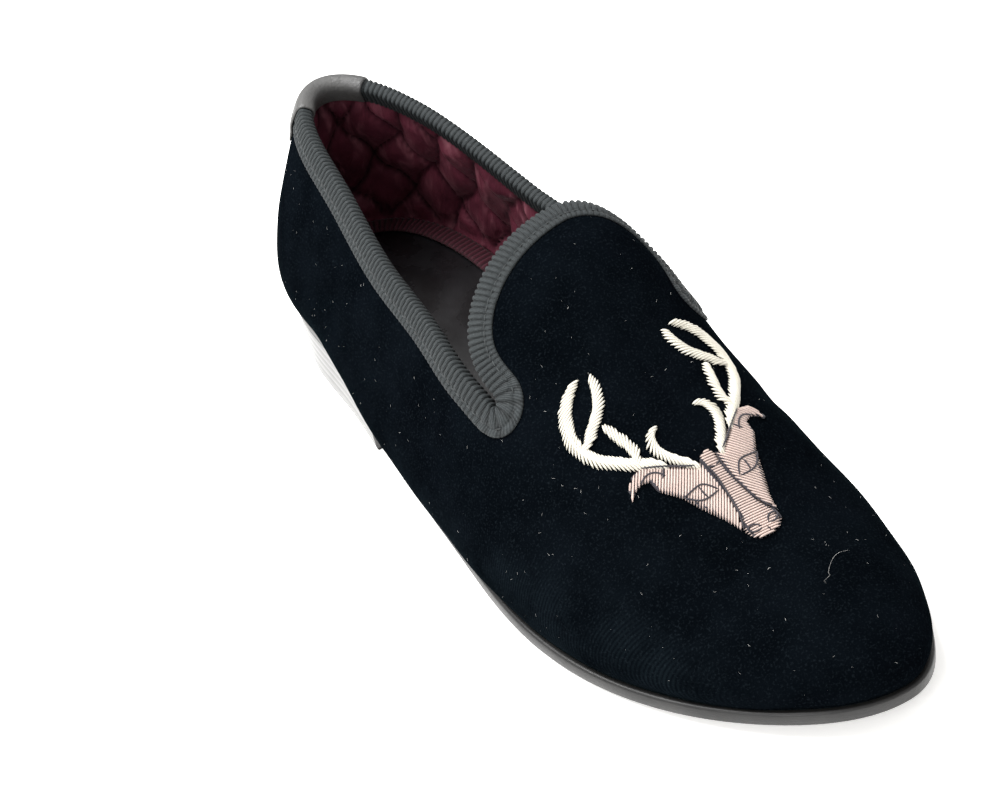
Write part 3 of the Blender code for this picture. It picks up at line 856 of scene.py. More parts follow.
# Painted shade along the stitched valleys, stored on the lining for its colour to read.
valley_shade = np.exp(-(np.minimum(slant_a, slant_b) / VALLEY_HALF) ** 2) * np.clip(flat_rim * 2, 0, 1)
mark(lining, "valley_shade", np.tile(valley_shade, 2))
wear_piece(lining, "lining_ribbon")

# %% [markdown]
# ## Grosgrain binding
# A ribbed ribbon is folded over the cut edge all round the opening. Its ribs run across the edge and fan
# out round the notch, which a texture can't do well. So the fold is swept along the edge in steps of a
# fifth of a millimetre, and every rib is a real ridge.

# %% Ribbon finish
RIB_PITCH = 2.0
RIB_HEIGHT = 0.75
RIBBON_T = 0.6
RIBBON_OUT = 7.6
RIBBON_IN = 7.0
RIBBON_EASE = 3.0


def ribbed_finish(name, dark, mid, light, sheen):
    mat, tree, shader, at = new_finish(name, Sheen_Weight=sheen, Sheen_Roughness=0.45,
                                       Specular_IOR_Level=0.16)
    yarn = use(tree, YARN, Vector=at["UV"], Pitch=0.42, Slant=0.15)
    cloud = use(tree, CLOUD, Vector=at["Object"], Scale=90.0)
    # Painted shade: the rib attribute colours the grooves between ribs dark and the crests mid.
    rib = put(tree, "ShaderNodeAttribute", {"attribute_name": "rib"})
    base = blend_colour(tree, rib.outputs["Fac"], dark, mid)
    # Painted highlight: the crests of the yarn's strands are mixed towards the light colour, mottled by
    # its fuzz.
    painted_crest_light = blend_colour(tree, times(tree, yarn["Shade"], 0.32), base, light)
    colour(tree, shader, blend_colour(tree, times(tree, cloud["Speck"], 0.8), painted_crest_light, light))
    rough(tree, shader, yarn["Shade"], 0.8, 0.55)
    bump(tree, shader, yarn["Height"], 0.00012, 0.7)
    return mat


GROSGRAIN = ribbed_finish("grosgrain", (0.0010, 0.0013, 0.0015), (0.0160, 0.0190, 0.0202),
                          (0.095, 0.108, 0.112), 0.02)
tell(GROSGRAIN)


# %% Ribbon over the edge
def edge_frame(ease):
    """Inward direction and normal along the cut edge, eased round the corners."""
    run = np.roll(EDGE_POINTS, -1, 0) - np.roll(EDGE_POINTS, 1, 0)
    normal = slopes(EDGE_TAU, EDGE_PHI)[2]
    into = np.cross(unit(run), normal)
    gap = np.linalg.norm(EDGE_POINTS[:, None] - EDGE_POINTS[None], axis=-1)
    into = np.exp(-(gap / ease) ** 2) @ into
    into = into - normal * np.sum(into * normal, axis=1, keepdims=True)
    return unit(into), normal


EDGE_INTO, EDGE_NORMAL = edge_frame(RIBBON_EASE)


def edge_point(reach, height):
    """Points at a distance in from the cut edge and a height off the velvet, all along the edge."""
    if reach <= 0:
        return EDGE_POINTS + EDGE_INTO * reach + EDGE_NORMAL * np.asarray(height, float)[..., None]
    t, p = walk(EDGE_TAU, EDGE_PHI, EDGE_INTO, reach)
    return skin(t, p, height)


def ribbon_section():
    """Rows of the fold, over its outside and back along its inside."""
    under = 0.1
    over = under + RIBBON_T
    low = -WALL - 0.45
    inner = low - RIBBON_T
    return [
        # reach in from the cut edge, height off the velvet, share of the rib's height
        (RIBBON_IN, low - 0.3, 0),
        (RIBBON_IN - 0.6, inner, 0.8),
        (4.5, inner, 1),
        (2, inner, 1),
        (0, inner, 1),
        (-0.7, low - 0.35, 1),
        (-1.25, low + 0.6, 1),
        (-1.4, -1.0, 1),
        (-1.2, -0.1, 1),
        (-0.7, 0.55, 1),
        (0, over, 1),
        (1.4, over + 0.1, 1),
        (2.8, over + 0.05, 1),
        (3.9, over - 0.02, 1),
        (4.5, over - 0.2, 0.7),
        (4.9, over - 0.4, 0.4),
        (5.3, over - 0.25, 0.5),
        (6.2, over - 0.1, 0.6),
        (7.0, over - 0.15, 0.6),
        (RIBBON_OUT - 0.1, over - 0.3, 0.4),
        (RIBBON_OUT, under + 0.05, 0),
        (RIBBON_OUT - 0.3, under, 0),
        (4, under, 0),
        (0.4, under, 0),
        (-0.5, -0.4, 0),
        (-0.5, -1.8, 0),
        (0.4, low, 0),
        (4, low, 0),
        (RIBBON_IN - 0.3, low, 0),
    ]


def ribbon_piece():
    wander = 0.18 * np.sin(EDGE_RUN / 17.0) + 0.12 * np.sin(EDGE_RUN / 7.3 + 1.0)
    turn = (EDGE_RUN + wander) / RIB_PITCH % 1.0
    rib = np.sin(np.pi * turn) - 0.15 * np.exp(-((turn - 0.5) / 0.11) ** 2)
    rows, painted_rib_shade = [], []
    for reach, height, share in ribbon_section():
        sign = -1 if height < -WALL * 0.5 else 1
        rows.append(edge_point(reach, height + sign * RIB_HEIGHT * share * rib))
        if reach <= 0 and share:
            rows[-1] = rows[-1] - EDGE_INTO * (RIB_HEIGHT * 0.6 * rib)[:, None]
        # Painted shade: darker in the grooves between ribs, and darker still on the rows with no rib,
        # which lie against the velvet.
        painted_rib_shade.append(rib ** 1.6 * (1.0 if share else 0.3))
    block = np.stack(rows, 1)
    v = running(block[0])
    v = np.r_[v, v[-1] + 1]
    u = np.r_[EDGE_RUN, EDGE_RUN[-1] + EDGE_STEP]
    ob = loft("collar_ribbon", block, GROSGRAIN, ring=True, uv=grid_uv(u, v), merge=False)
    mark(ob, "rib", np.stack(painted_rib_shade, 1))
    return ob


wear_piece(ribbon_piece(), "grosgrain", "collar_binding")

# %% [markdown]
# ## Rows of stitches with Geometry Nodes
# A seam is one stitch repeated. The tree below takes points that know their direction and their upward
# side, puts a stitch on each, realizes the copies and gives them their thread. A curve with dashes would
# be quicker to set up, but it can't turn each stitch flat on the ribbon. This tree can, all round the
# notch.

# %% Stitch tree
def lay_copies(tree, out, points, shape, turn, size, mat):
    """Copies of a shape on points, made real and given their material."""
    shape = put(tree, "GeometryNodeObjectInfo", Object=shape)
    copies = put(tree, "GeometryNodeInstanceOnPoints", Points=points, Instance=shape.outputs["Geometry"],
                 Rotation=turn.outputs["Rotation"], Scale=size)
    real = put(tree, "GeometryNodeRealizeInstances", Geometry=copies.outputs["Instances"])
    done = put(tree, "GeometryNodeSetMaterial", Geometry=real.outputs["Geometry"], Material=mat)
    tree.links.new(done.outputs["Geometry"], out["Geometry"])


def stitch_tree():
    tree, given, out = new_group("Stitch row", [("Geometry", "Geometry", None), ("Stitch", "Object", None),
                                                ("Thread", "Material", None)],
                                 [("Geometry", "Geometry")], "Geometry")
    known = {}
    for label in ("along", "up", "size"):
        node = put(tree, "GeometryNodeInputNamedAttribute", {"data_type": 'FLOAT_VECTOR'}, Name=label)
        known[label] = node.outputs["Attribute"]
    stand = put(tree, "FunctionNodeAlignRotationToVector", {"axis": 'Z'}, Vector=known["up"])
    lie = put(tree, "FunctionNodeAlignRotationToVector", {"axis": 'X', "pivot_axis": 'Z'},
              Rotation=stand.outputs["Rotation"], Vector=known["along"])
    lay_copies(tree, out, given["Geometry"], given["Stitch"], lie, known["size"], given["Thread"])
    return tree


def grow(ob, tree, **values):
    """Runs a tree of Geometry Nodes on an object and keeps the mesh that it makes."""
    modifier = ob.modifiers.new(tree.name, 'NODES')
    modifier.node_group = tree
    for item in tree.interface.items_tree:
        if item.in_out == 'INPUT' and item.name in values:
            modifier[item.identifier] = values[item.name]
    return settle(ob)


def stitch_shape(name, sides, humps):
    """One stitch a unit long, arched, with blunt ends, lying along X."""
    x = np.linspace(-0.5, 0.5, humps)
    swell = np.sqrt(np.clip(1 - (2 * x) ** 6, 0.02, 1))
    a = np.linspace(0, 2 * np.pi, sides, endpoint=False)
    ring = np.stack([np.broadcast_to(x[:, None], (humps, sides)),
                     0.5 * swell[:, None] * np.cos(a),
                     0.5 * swell[:, None] * np.sin(a) + 0.25 * np.cos(np.pi * x)[:, None]], -1)
    mesh = bpy.data.meshes.new(name)
    faces = grid_faces(humps, sides, False, True)[:, ::-1].tolist()
    caps = [list(range(sides))[::-1], list(range((humps - 1) * sides, humps * sides))]
    mesh.from_pydata(ring.reshape(-1, 3).tolist(), [], faces + caps)
    mesh.shade_smooth()
    return add_object(name, mesh)


STITCH_TREE = stitch_tree()
STITCH = stitch_shape("one_stitch", 6, 6)


def sew(name, points, along, up, size, mat):
    """Row of stitches at points in millimetres. Size is length, width and height of each."""
    mesh = bpy.data.meshes.new(name)
    mesh.from_pydata(to_frame(points).tolist(), [], [])
    turn = np.array([[0, 1, 0], [-1, 0, 0], [0, 0, 1]], float)
    known = {"along": along @ turn.T, "up": up @ turn.T, "size": np.asarray(size) * MM}
    for label, values in known.items():
        store = mesh.attributes.new(label, 'FLOAT_VECTOR', 'POINT')
        store.data.foreach_set("vector", np.broadcast_to(values, points.shape).astype(np.float32).ravel())
    return grow(add_object(name, mesh), STITCH_TREE, Stitch=STITCH, Thread=mat)


def thread_finish(name, dark, light, roughness, scale):
    mat, tree, shader, at = new_finish(name, Specular_IOR_Level=0.35, Sheen_Weight=0.1)
    cloud = use(tree, CLOUD, Vector=at["Object"], Scale=scale)
    grain = use(tree, GRAIN, Vector=at["Object"], Scale=3000.0)
    colour(tree, shader, blend_colour(tree, cloud["Shade"], dark, light))
    rough(tree, shader, cloud["Shade"], roughness, roughness + 0.2)
    bump(tree, shader, grain["Height"], 0.0001, 0.6)
    return mat


RIBBON_THREAD = thread_finish("ribbon_thread", (0.006, 0.0075, 0.008), (0.035, 0.041, 0.043), 0.6, 400.0)
tell(RIBBON_THREAD)

# %% Stitches along the ribbon
SEAM_REACH = 4.95
SEAM_PITCH = 3.0
SEAM_SINK = 0.05
STITCH_SIZE = (2.3, 0.5, 0.5)
seam_every = int(round(SEAM_PITCH / EDGE_STEP))
seam_line = edge_point(SEAM_REACH, RIBBON_T - SEAM_SINK)
seam_run = np.roll(seam_line, -1, 0) - np.roll(seam_line, 1, 0)
seam_pick = np.arange(0, len(EDGE_TAU), seam_every)
seam = sew("ribbon_stitches", seam_line[seam_pick], seam_run[seam_pick], EDGE_NORMAL[seam_pick],
           STITCH_SIZE, RIBBON_THREAD)
wear_piece(seam, "grosgrain")

# %% [markdown]
# ## Leather
# The tab, the sock, the sole and the heel are leather. A picture of hide could be wrapped round each, but
# it would need a map without seams. So all of them share the grain group, which works in the shoe's own
# coordinates, and differ in colour, gloss and scale.

# %% Leather finish
def leather_finish(name, dark, light, roughness, scale, depth, coat=0.0):
    mat, tree, shader, at = new_finish(name, Specular_IOR_Level=0.4, Coat_Weight=coat, Coat_Roughness=0.3)
    grain = use(tree, GRAIN, Vector=at["Object"], Scale=scale)
    cloud = use(tree, CLOUD, Vector=at["Object"], Scale=35.0)
    base = blend_colour(tree, ramp(tree, grain["Shade"], 0.3, 0.7), dark, light)
    colour(tree, shader, blend_colour(tree, times(tree, cloud["Speck"], 0.25), base, light))
    rough(tree, shader, grain["Shade"], roughness - 0.1, roughness + 0.12)
    bump(tree, shader, grain["Height"], depth, 0.6)
    return mat


TAB_LEATHER = leather_finish("tab_leather", (0.034, 0.034, 0.035), (0.072, 0.071, 0.069), 0.42,
                             950.0, 0.00035)
SOCK_LEATHER = leather_finish("sock_leather", (0.0018, 0.0018, 0.0022), (0.0045, 0.0045, 0.0055), 0.27,
                              1500.0, 0.00006, coat=0.5)
tell(TAB_LEATHER)
tell(SOCK_LEATHER)

# %% [markdown]
# ## Heel tab
# A strip of soft leather is rolled over the collar at the back, where the ribbon's ends meet. It could be
# cut from the ribbon's mesh, but leather has no ribs and a softer bend. So it is a coarse strip of its
# own, laid along the same edge, and a subdivision surface rounds it as a real skived edge would be.

# %% Heel tab
TAB_HALF = 17.5
TAB_OUT = 14.0
TAB_IN = 5.6
TAB_T = 1.1
TAB_EVERY = 10


def tab_rows():
    """Rows of the strip, from its outer end over the collar to its inner end."""
    over = 1.3
    low = -WALL - 1.75
    return [
        # inside of the leather, outside of the leather: reach in from the cut edge, height off the velvet
        ((TAB_OUT, 0.0), (TAB_OUT, 0.7 * TAB_T)),
        ((11.5, 0.0), (11.5, 0.1 + TAB_T)),
        ((9.4, 0.15), (9.4, 0.4 + TAB_T)),
        ((7.9, 0.9), (7.9, 0.9 + TAB_T)),
        ((6, over), (6, over + TAB_T)),
        ((2.5, over), (2.5, over + TAB_T)),
        ((-0.2, over), (-0.2, over + TAB_T)),
        ((-1.3, 0.7), (-2.1, 1.4)),
        ((-1.75, -0.2), (-2.9, 0)),
        ((-1.75, -2.2), (-2.9, -2.4)),
        ((-1.3, low + 0.6), (-2.1, low - 0.1)),
        ((-0.2, low), (-0.2, low - TAB_T)),
        ((2, low), (2, low - TAB_T)),
        ((4.2, low), (4.2, low - TAB_T)),
        ((TAB_IN, low + 0.1), (TAB_IN, low - TAB_T * 0.9)),
    ]


def tab_piece():
    middle = (EDGE_RUN + TAB_HALF) % EDGE_RUN[-1]
    order = np.argsort(middle)
    pick = order[middle[order] <= 2 * TAB_HALF][::TAB_EVERY]
    pairs = tab_rows()
    rows = []
    for reach, height in [a for a, _ in pairs] + [b for _, b in pairs[::-1]]:
        rows.append(edge_point(reach, height)[pick])
    block = np.stack(rows, 1)
    count = len(rows)
    caps = []
    for first in (0, (len(pick) - 1) * count):
        for i in range(len(pairs) - 1):
            end = first + count - 1 - i
            caps.append([first + i, first + i + 1, end - 1, end])
    ob = loft("heel_tab_leather", block, TAB_LEATHER, caps)
    rounder = ob.modifiers.new("Round", 'SUBSURF')
    rounder.levels = 2
    rounder.render_levels = 2
    return settle(ob)


wear_piece(tab_piece(), "tab_leather", "heel_tab")


# %% [markdown]
# ## Sock
# The sock is the thin leather that the foot stands on, glued over the insole's board. A flat plane cut to
# the outline would do from far off. Seen into the shoe it needs a soft edge and a slight hollow, so it is
# a plate with a rounded rim, and slow waves keep its glare from being even.

# %% Sock over the insole
def plate(tau, edge, rows_across):
    """Closed plate over the outline. Edge rows are distance in from it and height over the seat."""
    rings = []
    for inner, run in ((False, edge), (True, edge[::-1])):
        for distance, height in run:
            s, w = inset(tau, inner, distance)
            rings.append(np.stack([s, w, seat(s) + height], -1))
    top_outer, top_inner = rings[len(edge) - 1], rings[len(edge)]
    low_inner, low_outer = rings[-1], rings[0]
    share = np.linspace(0, 1, rows_across + 2)[1:-1]
    top = [top_outer + (top_inner - top_outer) * k for k in share]
    low = [low_inner + (low_outer - low_inner) * k for k in share]
    return np.stack(rings[:len(edge)] + top + rings[len(edge):] + low, 1)


SOCK_RIPPLE = 0.4
SOCK_DISH = 0.3


def sock_piece():
    tau = np.linspace(0, 1, 150)
    base = WALL + 0.9
    lift = GAP + INSOLE_T
    edge = [
        # distance in from the outline, height over the seat
        (base, GAP),
        (base - 0.3, GAP + 0.8),
        (base - 0.2, lift - 0.7),
        (base + 0.4, lift - 0.1),
        (base + 1.6, lift),
    ]
    block = plate(tau, edge, 22)
    middle = np.linspace(0, np.pi, block.shape[1])
    dish = SOCK_DISH * np.sin(middle) * np.sin(np.pi * tau)[:, None]
    top = block[..., 2] > (seat(block[..., 0]) + lift - 0.05)
    waves = ripple(block.reshape(-1, 3), SOCK_RIPPLE, 2).reshape(dish.shape)
    block[..., 2] += np.where(top, waves - dish, 0)
    return loft("sock", block, SOCK_LEATHER)


wear_piece(sock_piece(), "insole_leather", "insole")

# %% [markdown]
# ## Gathered edging round the sock
# A burgundy ribbed band finishes the sock round the heel. An array of ribs along a curve could make it
# too, but would leave gaps on the outside of the bend. So it is made as the ribbon was, in fine steps,
# with its ribs as real ridges across the band.

# %% Edging band
EDGING_W = 8.0
EDGING_T = 1.0
EDGING_S = 140.0
EDGING_PITCH = 2.3
EDGING_STEP = 0.3
EDGING_IN = WALL + 1.0
EDGING_RIB = 0.7
EDGING_FINISH = ribbed_finish("burgundy_ribs", (0.003, 0.0006, 0.0012), (0.055, 0.0105, 0.019),
                              (0.12, 0.036, 0.049), 0.05)


def edging_piece():
    fine = np.linspace(0, float(tau_at(EDGING_S)), 600)
    sides = []
    for inner, t in ((False, fine[::-1]), (True, fine[1:])):
        s, w = inset(t, inner, EDGING_IN)
        sides.append(np.stack([t, np.full(len(t), inner), s, w], -1))
    track = np.concatenate(sides)
    run = running(track[:, 2:])
    even = np.arange(0, run[-1], EDGING_STEP)
    tau = np.interp(even, run, track[:, 0])
    inner = np.interp(even, run, track[:, 1]) > 0.5
    wave = 0.5 + 0.5 * np.cos(2 * np.pi * (even + 0.25 * np.sin(even / 5.0)) / EDGING_PITCH)
    profile = [
        # distance in from the wall, share of the thickness, share of the rib
        (0, 0.0, 0),
        (0.1, 0.7, 0.5),
        (1.2, 1.0, 1),
        (2.6, 1.05, 1),
        (4.0, 1.05, 1),
        (5.4, 1.0, 1),
        (6.8, 0.85, 1),
        (EDGING_W - 0.2, 0.5, 0.6),
        (EDGING_W, 0.0, 0),
    ]
    rows, painted_rib_shade = [], []
    for distance, lift, share in profile:
        s, w = inset(tau, inner, EDGING_IN + distance)
        z = seat(s) + 2 * GAP + INSOLE_T + lift * EDGING_T * 0.7 + share * EDGING_RIB * wave
        rows.append(np.stack([s, w, z], -1))
        # Painted shade: darker in the grooves between the gathers and towards both edges of the band.
        painted_rib_shade.append(wave * (0.3 + 0.7 * share))
    block = np.stack(rows, 1)
    v = np.r_[[row[0] for row in profile], EDGING_W * 2]
    count = len(profile)
    caps = [list(range(first, first + count)) for first in (0, (len(even) - 1) * count)]
    cap_uv = [[0.0, float(d)] for d in range(count)] * 2
    uv = np.vstack([grid_uv(even, v), cap_uv])
    ob = loft("sock_edging", block, EDGING_FINISH, caps, uv=uv, merge=False)
    mark(ob, "rib", np.stack(painted_rib_shade, 1))
    return ob


wear_piece(edging_piece(), "lining_ribbon", "insole_edging")

# %% [markdown]
# ## Sole
# The sole is one thick sole leather, close trimmed and burnished dark. A solidify modifier on the outline
# would make a plain slab. A real edge has a small round top and bottom, so the sole is a plate like the
# sock, with a row for each bend of its edge. The tread is a little scuffed.

# %% Sole
def sole_finish(name, dark, light, lines, polish):
    mat, tree, shader, at = new_finish(name, Specular_IOR_Level=0.3, Coat_Weight=polish,
                                       Coat_Roughness=0.3)
    grain = use(tree, GRAIN, Vector=at["Object"], Scale=1100.0)
    cloud = use(tree, CLOUD, Vector=at["Object"], Scale=70.0)
    base = blend_colour(tree, cloud["Shade"], dark, light)
    streak = put(tree, "ShaderNodeMapping", Vector=at["Object"], Scale=(1.0, 1.0, 14.0))
    fibre = noise(tree, streak.outputs["Vector"], 110.0, 5.0)
    fine = blend_colour(tree, ramp(tree, fibre, 0.45, 0.75, 0.0, lines), base, light)
    colour(tree, shader, blend_colour(tree, times(tree, cloud["Speck"], 0.4), fine, light))
    rough(tree, shader, grain["Shade"], 0.34, 0.6)
    bump(tree, shader, plus(tree, grain["Height"], fibre), 0.00015, 0.5)
    return mat


SOLE_LEATHER = sole_finish("sole_leather", (0.004, 0.004, 0.0042), (0.014, 0.0137, 0.0134), 0.5, 0.2)
HEEL_LEATHER = sole_finish("heel_leather", (0.008, 0.008, 0.0083), (0.026, 0.0255, 0.025), 0.7, 0.75)


def sole_piece():
    tau = np.unique(np.r_[np.linspace(0, 1, 170), tau_at([FLAT_START, FLAT_END])])
    proud = sole_edge(station(tau))
    edge = [
        # distance in from the trimmed edge, height over the seat
        (1.1, -SOLE_T),
        (0.4, 0.25 - SOLE_T),
        (0.0, 0.9 - SOLE_T),
        (-0.05, -0.5 * SOLE_T),
        (0.0, -0.9),
        (0.3, -0.25),
        (1.2, 0.0),
        (2.4, 0.0),
    ]
    block = plate(tau, [(distance - proud, height) for distance, height in edge], 12)
    return loft("sole", block, SOLE_LEATHER)


wear_piece(sole_piece(), "sole_leather", "outsole")

# %% [markdown]
# ## Heel
# The heel is built of leather lifts over a top piece, so fine lines run round it. A stack of thin slabs
# would show the same lines with many more faces. Here it is one block of rings, and a shallow groove is
# pressed in where two lifts meet. Its front, the breast, is hollowed a little.

# %% Heel of lifts
LIFT_LINES = [6.0, 10.0, 13.8, 17.6, 21.0]
LIFT_CUT = 0.07
LIFT_ROUND = 0.45
LIFT_GROOVE = 0.12
BREAST_HOLLOW = 1.6
BREAST_PROUD = 1.2
HEEL_TOP_IN = 0.4
BASE_LEVELS = [0.0, 0.25, 0.8]
BASE_ROUND = [0.7, 0.2, 0.0]


def heel_piece():
    tau = np.linspace(0, float(tau_at(BREAST_S)), 90)
    levels = list(BASE_LEVELS)
    for z in LIFT_LINES:
        levels += [z - LIFT_ROUND, z - LIFT_GROOVE, z + LIFT_GROOVE, z + LIFT_ROUND]
    levels = np.array(levels + [HEEL_H - GAP])
    rings = []
    for k, z in enumerate(levels):
        share = z / levels[-1]
        cut = LIFT_CUT if any(abs(z - line) < 0.2 for line in LIFT_LINES) else 0.0
        if k < len(BASE_ROUND):
            cut += BASE_ROUND[k]
        distance = HEEL_TAPER * (1 - share) + HEEL_TOP_IN * share + cut
        ring = []
        for inner, t in ((False, tau), (True, tau[::-1])):
            s, w = inset(t, inner, distance)
            s = np.minimum(s, BREAST_S + BREAST_PROUD - cut)
            ring.append(np.stack([s, w, np.minimum(z, seat(s) - SOLE_T - GAP)], -1))
        outer, inner_side = ring
        share_in = np.linspace(0, 1, 14)[1:-1, None]
        breast = outer[-1] + (inner_side[0] - outer[-1]) * share_in
        breast[:, 0] -= BREAST_HOLLOW * np.sin(np.pi * share_in[:, 0])
        breast[:, 2] = np.minimum(z, seat(breast[:, 0]) - SOLE_T - GAP)
        rings.append(np.concatenate([outer, breast, inner_side[:-1]]))
    block = np.stack(rings)
    count = block.shape[1]
    caps = [list(range(first, first + count)) for first in (0, (len(levels) - 1) * count)]
    return loft("heel_stack", block, HEEL_LEATHER, caps)


wear_piece(heel_piece(), "heel_leather", "heel")

# %% [markdown]
# ## The stag
# The vamp carries a stag's head, the traditional bullion embroidery for such slippers. A picture on the
# velvet would stay flat, and this work stands up from it and catches light. So it is drawn flat in
# millimetres, one half only, then mirrored and laid on the vamp as real threads.

# %% Drawing of the stag
STAG_S = 221.3
ANTLER_HALF = 2.1
TINE_HALF = 1.75
BEAM = [(12.5, 5.2), (18, 9.2), (24.2, 14.6), (28, 20.5), (28.8, 26.5), (26.8, 33), (23.5, 37.6),
        (19.2, 40.8)]
TINES = [
    [(26.6, 22.5), (22.5, 26.2), (18, 30.2), (15.4, 34.6), (14.5, 39)],
    [(17.8, 10), (17.2, 13.4), (17.8, 17.8), (20, 24)],
    [(4.4, -0.6), (7.5, 2.8), (10.4, 6.8), (11.4, 11.4), (10.6, 14), (8.5, 15.8)],
]
NOSE = [(0, 1.6), (1.6, 1.3), (2.6, -0.2), (2.2, -3), (1.9, -7), (2.6, -13), (3.8, -19.5), (6.2, -25),
        (5.6, -28), (3.4, -29.8), (0, -30.2)]
CHEEK = [(2.7, -0.6), (4.6, -0.8), (8, 1.2), (13, 4.6), (18.6, 8.0), (22.4, 7.4), (24.8, 5.0), (26.4, 1.2),
         (24.4, 3.0), (21.4, 4.0), (18.6, 3.0), (18.4, -1.2), (14.4, -6.4), (11.6, -13), (8.4, -19.4),
         (6.6, -24.4), (4.0, -19.5), (2.8, -13), (2.1, -7), (2.4, -3)]
DARK_LINES = [
    [(2.8, -0.4), (2.3, -3), (2.0, -7), (2.7, -13), (3.9, -19.5), (6.4, -25)],
    [(4.4, -0.9), (8, 1.1), (13, 4.5), (18.6, 7.9)],
    [(13.4, 4.4), (14.6, 2.6), (15.8, 1.4)],
    [(21.6, 3.9), (18.4, 5.2), (16.2, 4.4), (14.2, 1.6)],
    [(4.0, -10.5), (5.6, -8.0), (7.2, -6.4), (10.6, -6.3), (14.2, -6.8)],
    [(4.0, -10.5), (7.0, -10.8), (10.4, -10.4), (12.8, -8.4), (14.2, -6.8)],
    [(8.4, -6.4), (8.6, -8.6), (8.2, -10.7)],
    [(2.4, -3), (0.9, -3.6), (0, -3.8)],
    [(1.3, -27.2), (2.2, -25.7), (4.2, -25.0), (5.6, -25.8), (4.6, -27.1), (2.8, -27.6), (1.3, -27.2)],
    [(0.0, -27.6), (0.0, -28.6), (0.0, -29.8)],
]


def on_vamp(flat):
    """Parameters of the points of the vamp under a flat drawing laid on the crown."""
    flat = np.asarray(flat, float)
    tau0 = float(tau_at((STAG_S - RIDGE_BACK) / (RIDGE_TOE - RIDGE_BACK) * LENGTH))
    here, top = np.array([tau0]), np.array([math.pi / 2])
    centre = last(here, top)[0]
    ahead = last(here + 0.004, top)[0] - last(here - 0.004, top)[0]
    v = -unit(ahead)
    u = np.array([0.0, 1.0, 0.0])
    u = unit(u - v * (u @ v))
    lift = np.cross(v, u)
    tau = np.full(len(flat), tau0)
    phi = np.full(len(flat), math.pi / 2) + 1e-3
    for share in np.r_[np.linspace(0.1, 1, 12), np.ones(6)]:
        goal = centre + share * (flat[:, :1] * u + flat[:, 1:] * v)
        a, c, _ = slopes(tau, phi)
        miss = goal - last(tau, phi)
        turn = np.stack([a, c, np.broadcast_to(lift, a.shape)], -1)
        move = np.linalg.solve(turn, miss[..., None])[..., 0]
        tau = np.clip(tau + np.clip(move[:, 0], -0.03, 0.03), 0.05, 0.98)
        phi = np.clip(phi + np.clip(move[:, 1], -0.3, 0.3), 0.05, math.pi - 0.05)
    return tau, phi


def mirrored(points, sign):
    return [(sign * a, b) for a, b in points]


def smooth_line(points, pitch):
    """Even steps along a smooth curve through the points."""
    p = np.asarray(points, float)
    t = running(p)
    fine = np.linspace(0, t[-1], 400)
    q = np.stack([spline(t, p[:, 0], fine), spline(t, p[:, 1], fine)], -1)
    run = running(q)
    even = np.linspace(0, run[-1], max(2, int(round(run[-1] / pitch)) + 1))
    return np.stack([np.interp(even, run, q[:, 0]), np.interp(even, run, q[:, 1])], -1)


print("stag is", 2 * max(p[0] for p in BEAM) + 2 * ANTLER_HALF, "mm wide")

# %% Threads laid on the vamp
THREAD_SIDES = 6


def lay_threads(flat, base, arch, radius, roll=1.0, blunt=8):
    """Tubes over flat paths, an array of threads by points by 2. Arch lifts the middle of each thread."""
    count, steps = flat.shape[:2]
    tau, phi = on_vamp(flat.reshape(-1, 2))
    t = np.linspace(0, 1, steps)
    lift = base + arch * np.sin(np.pi * t) ** roll
    height = np.broadcast_to(lift, (count, steps)).ravel()
    path = skin(tau, phi, height).reshape(count, steps, 3)
    normal = slopes(tau, phi)[2].reshape(count, steps, 3)
    along = unit(np.gradient(path, axis=1))
    side = unit(np.cross(normal, along))
    over = np.cross(along, side)
    thick = radius * np.sqrt(np.clip(1 - np.abs(2 * t - 1) ** blunt, 0.06, 1))
    a = np.linspace(0, 2 * np.pi, THREAD_SIDES, endpoint=False)
    spoke = np.cos(a)[:, None] * side[:, :, None] + np.sin(a)[:, None] * over[:, :, None]
    ring = path[:, :, None] + thick[None, :, None, None] * spoke
    one = grid_faces(steps, THREAD_SIDES, False, True)
    size = steps * THREAD_SIDES
    faces = (one[None] + (np.arange(count) * size)[:, None, None]).reshape(-1, 4).tolist()
    length = np.linalg.norm(np.diff(path, axis=1), axis=-1).sum(1).mean()
    one_uv = grid_uv(t * length, np.linspace(0, 2 * np.pi * radius, THREAD_SIDES + 1))
    uv = np.tile(one_uv, (count, 1)).tolist()
    for start in range(0, count * size, size):
        tail = start + size - 1
        faces.append(list(range(start, start + THREAD_SIDES)))
        faces.append(list(range(tail, tail - THREAD_SIDES, -1)))
        uv += [[0.0, 0.0]] * (2 * THREAD_SIDES)
    return ring.reshape(-1, 3), faces, uv


def join_threads(name, bundles, mat):
    """One object from several bundles of threads."""
    points, faces, uv = [], [], []
    base = 0
    for p, f, c in bundles:
        points.append(p)
        faces += [[base + i for i in face] for face in f]
        uv += c
        base += len(p)
    return make_piece(name, np.concatenate(points), faces, mat, np.array(uv), merge=False)


def wire_finish(name, dark, light, roughness, pitch):
    mat, tree, shader, at = new_finish(name, Specular_IOR_Level=0.5, Sheen_Weight=0.1)
    coil = use(tree, YARN, Vector=at["UV"], Pitch=pitch, Slant=0.35)
    cloud = use(tree, CLOUD, Vector=at["Object"], Scale=220.0)
    # Painted light and shade: the coil's crests take the light colour, and the gaps between its turns take
    # the dark one.
    base = blend_colour(tree, coil["Shade"], dark, light)
    colour(tree, shader, blend_colour(tree, times(tree, cloud["Shade"], 0.3), base, light))
    rough(tree, shader, cloud["Shade"], roughness, roughness + 0.18)
    bump(tree, shader, coil["Height"], 0.00012, 0.6)
    return mat


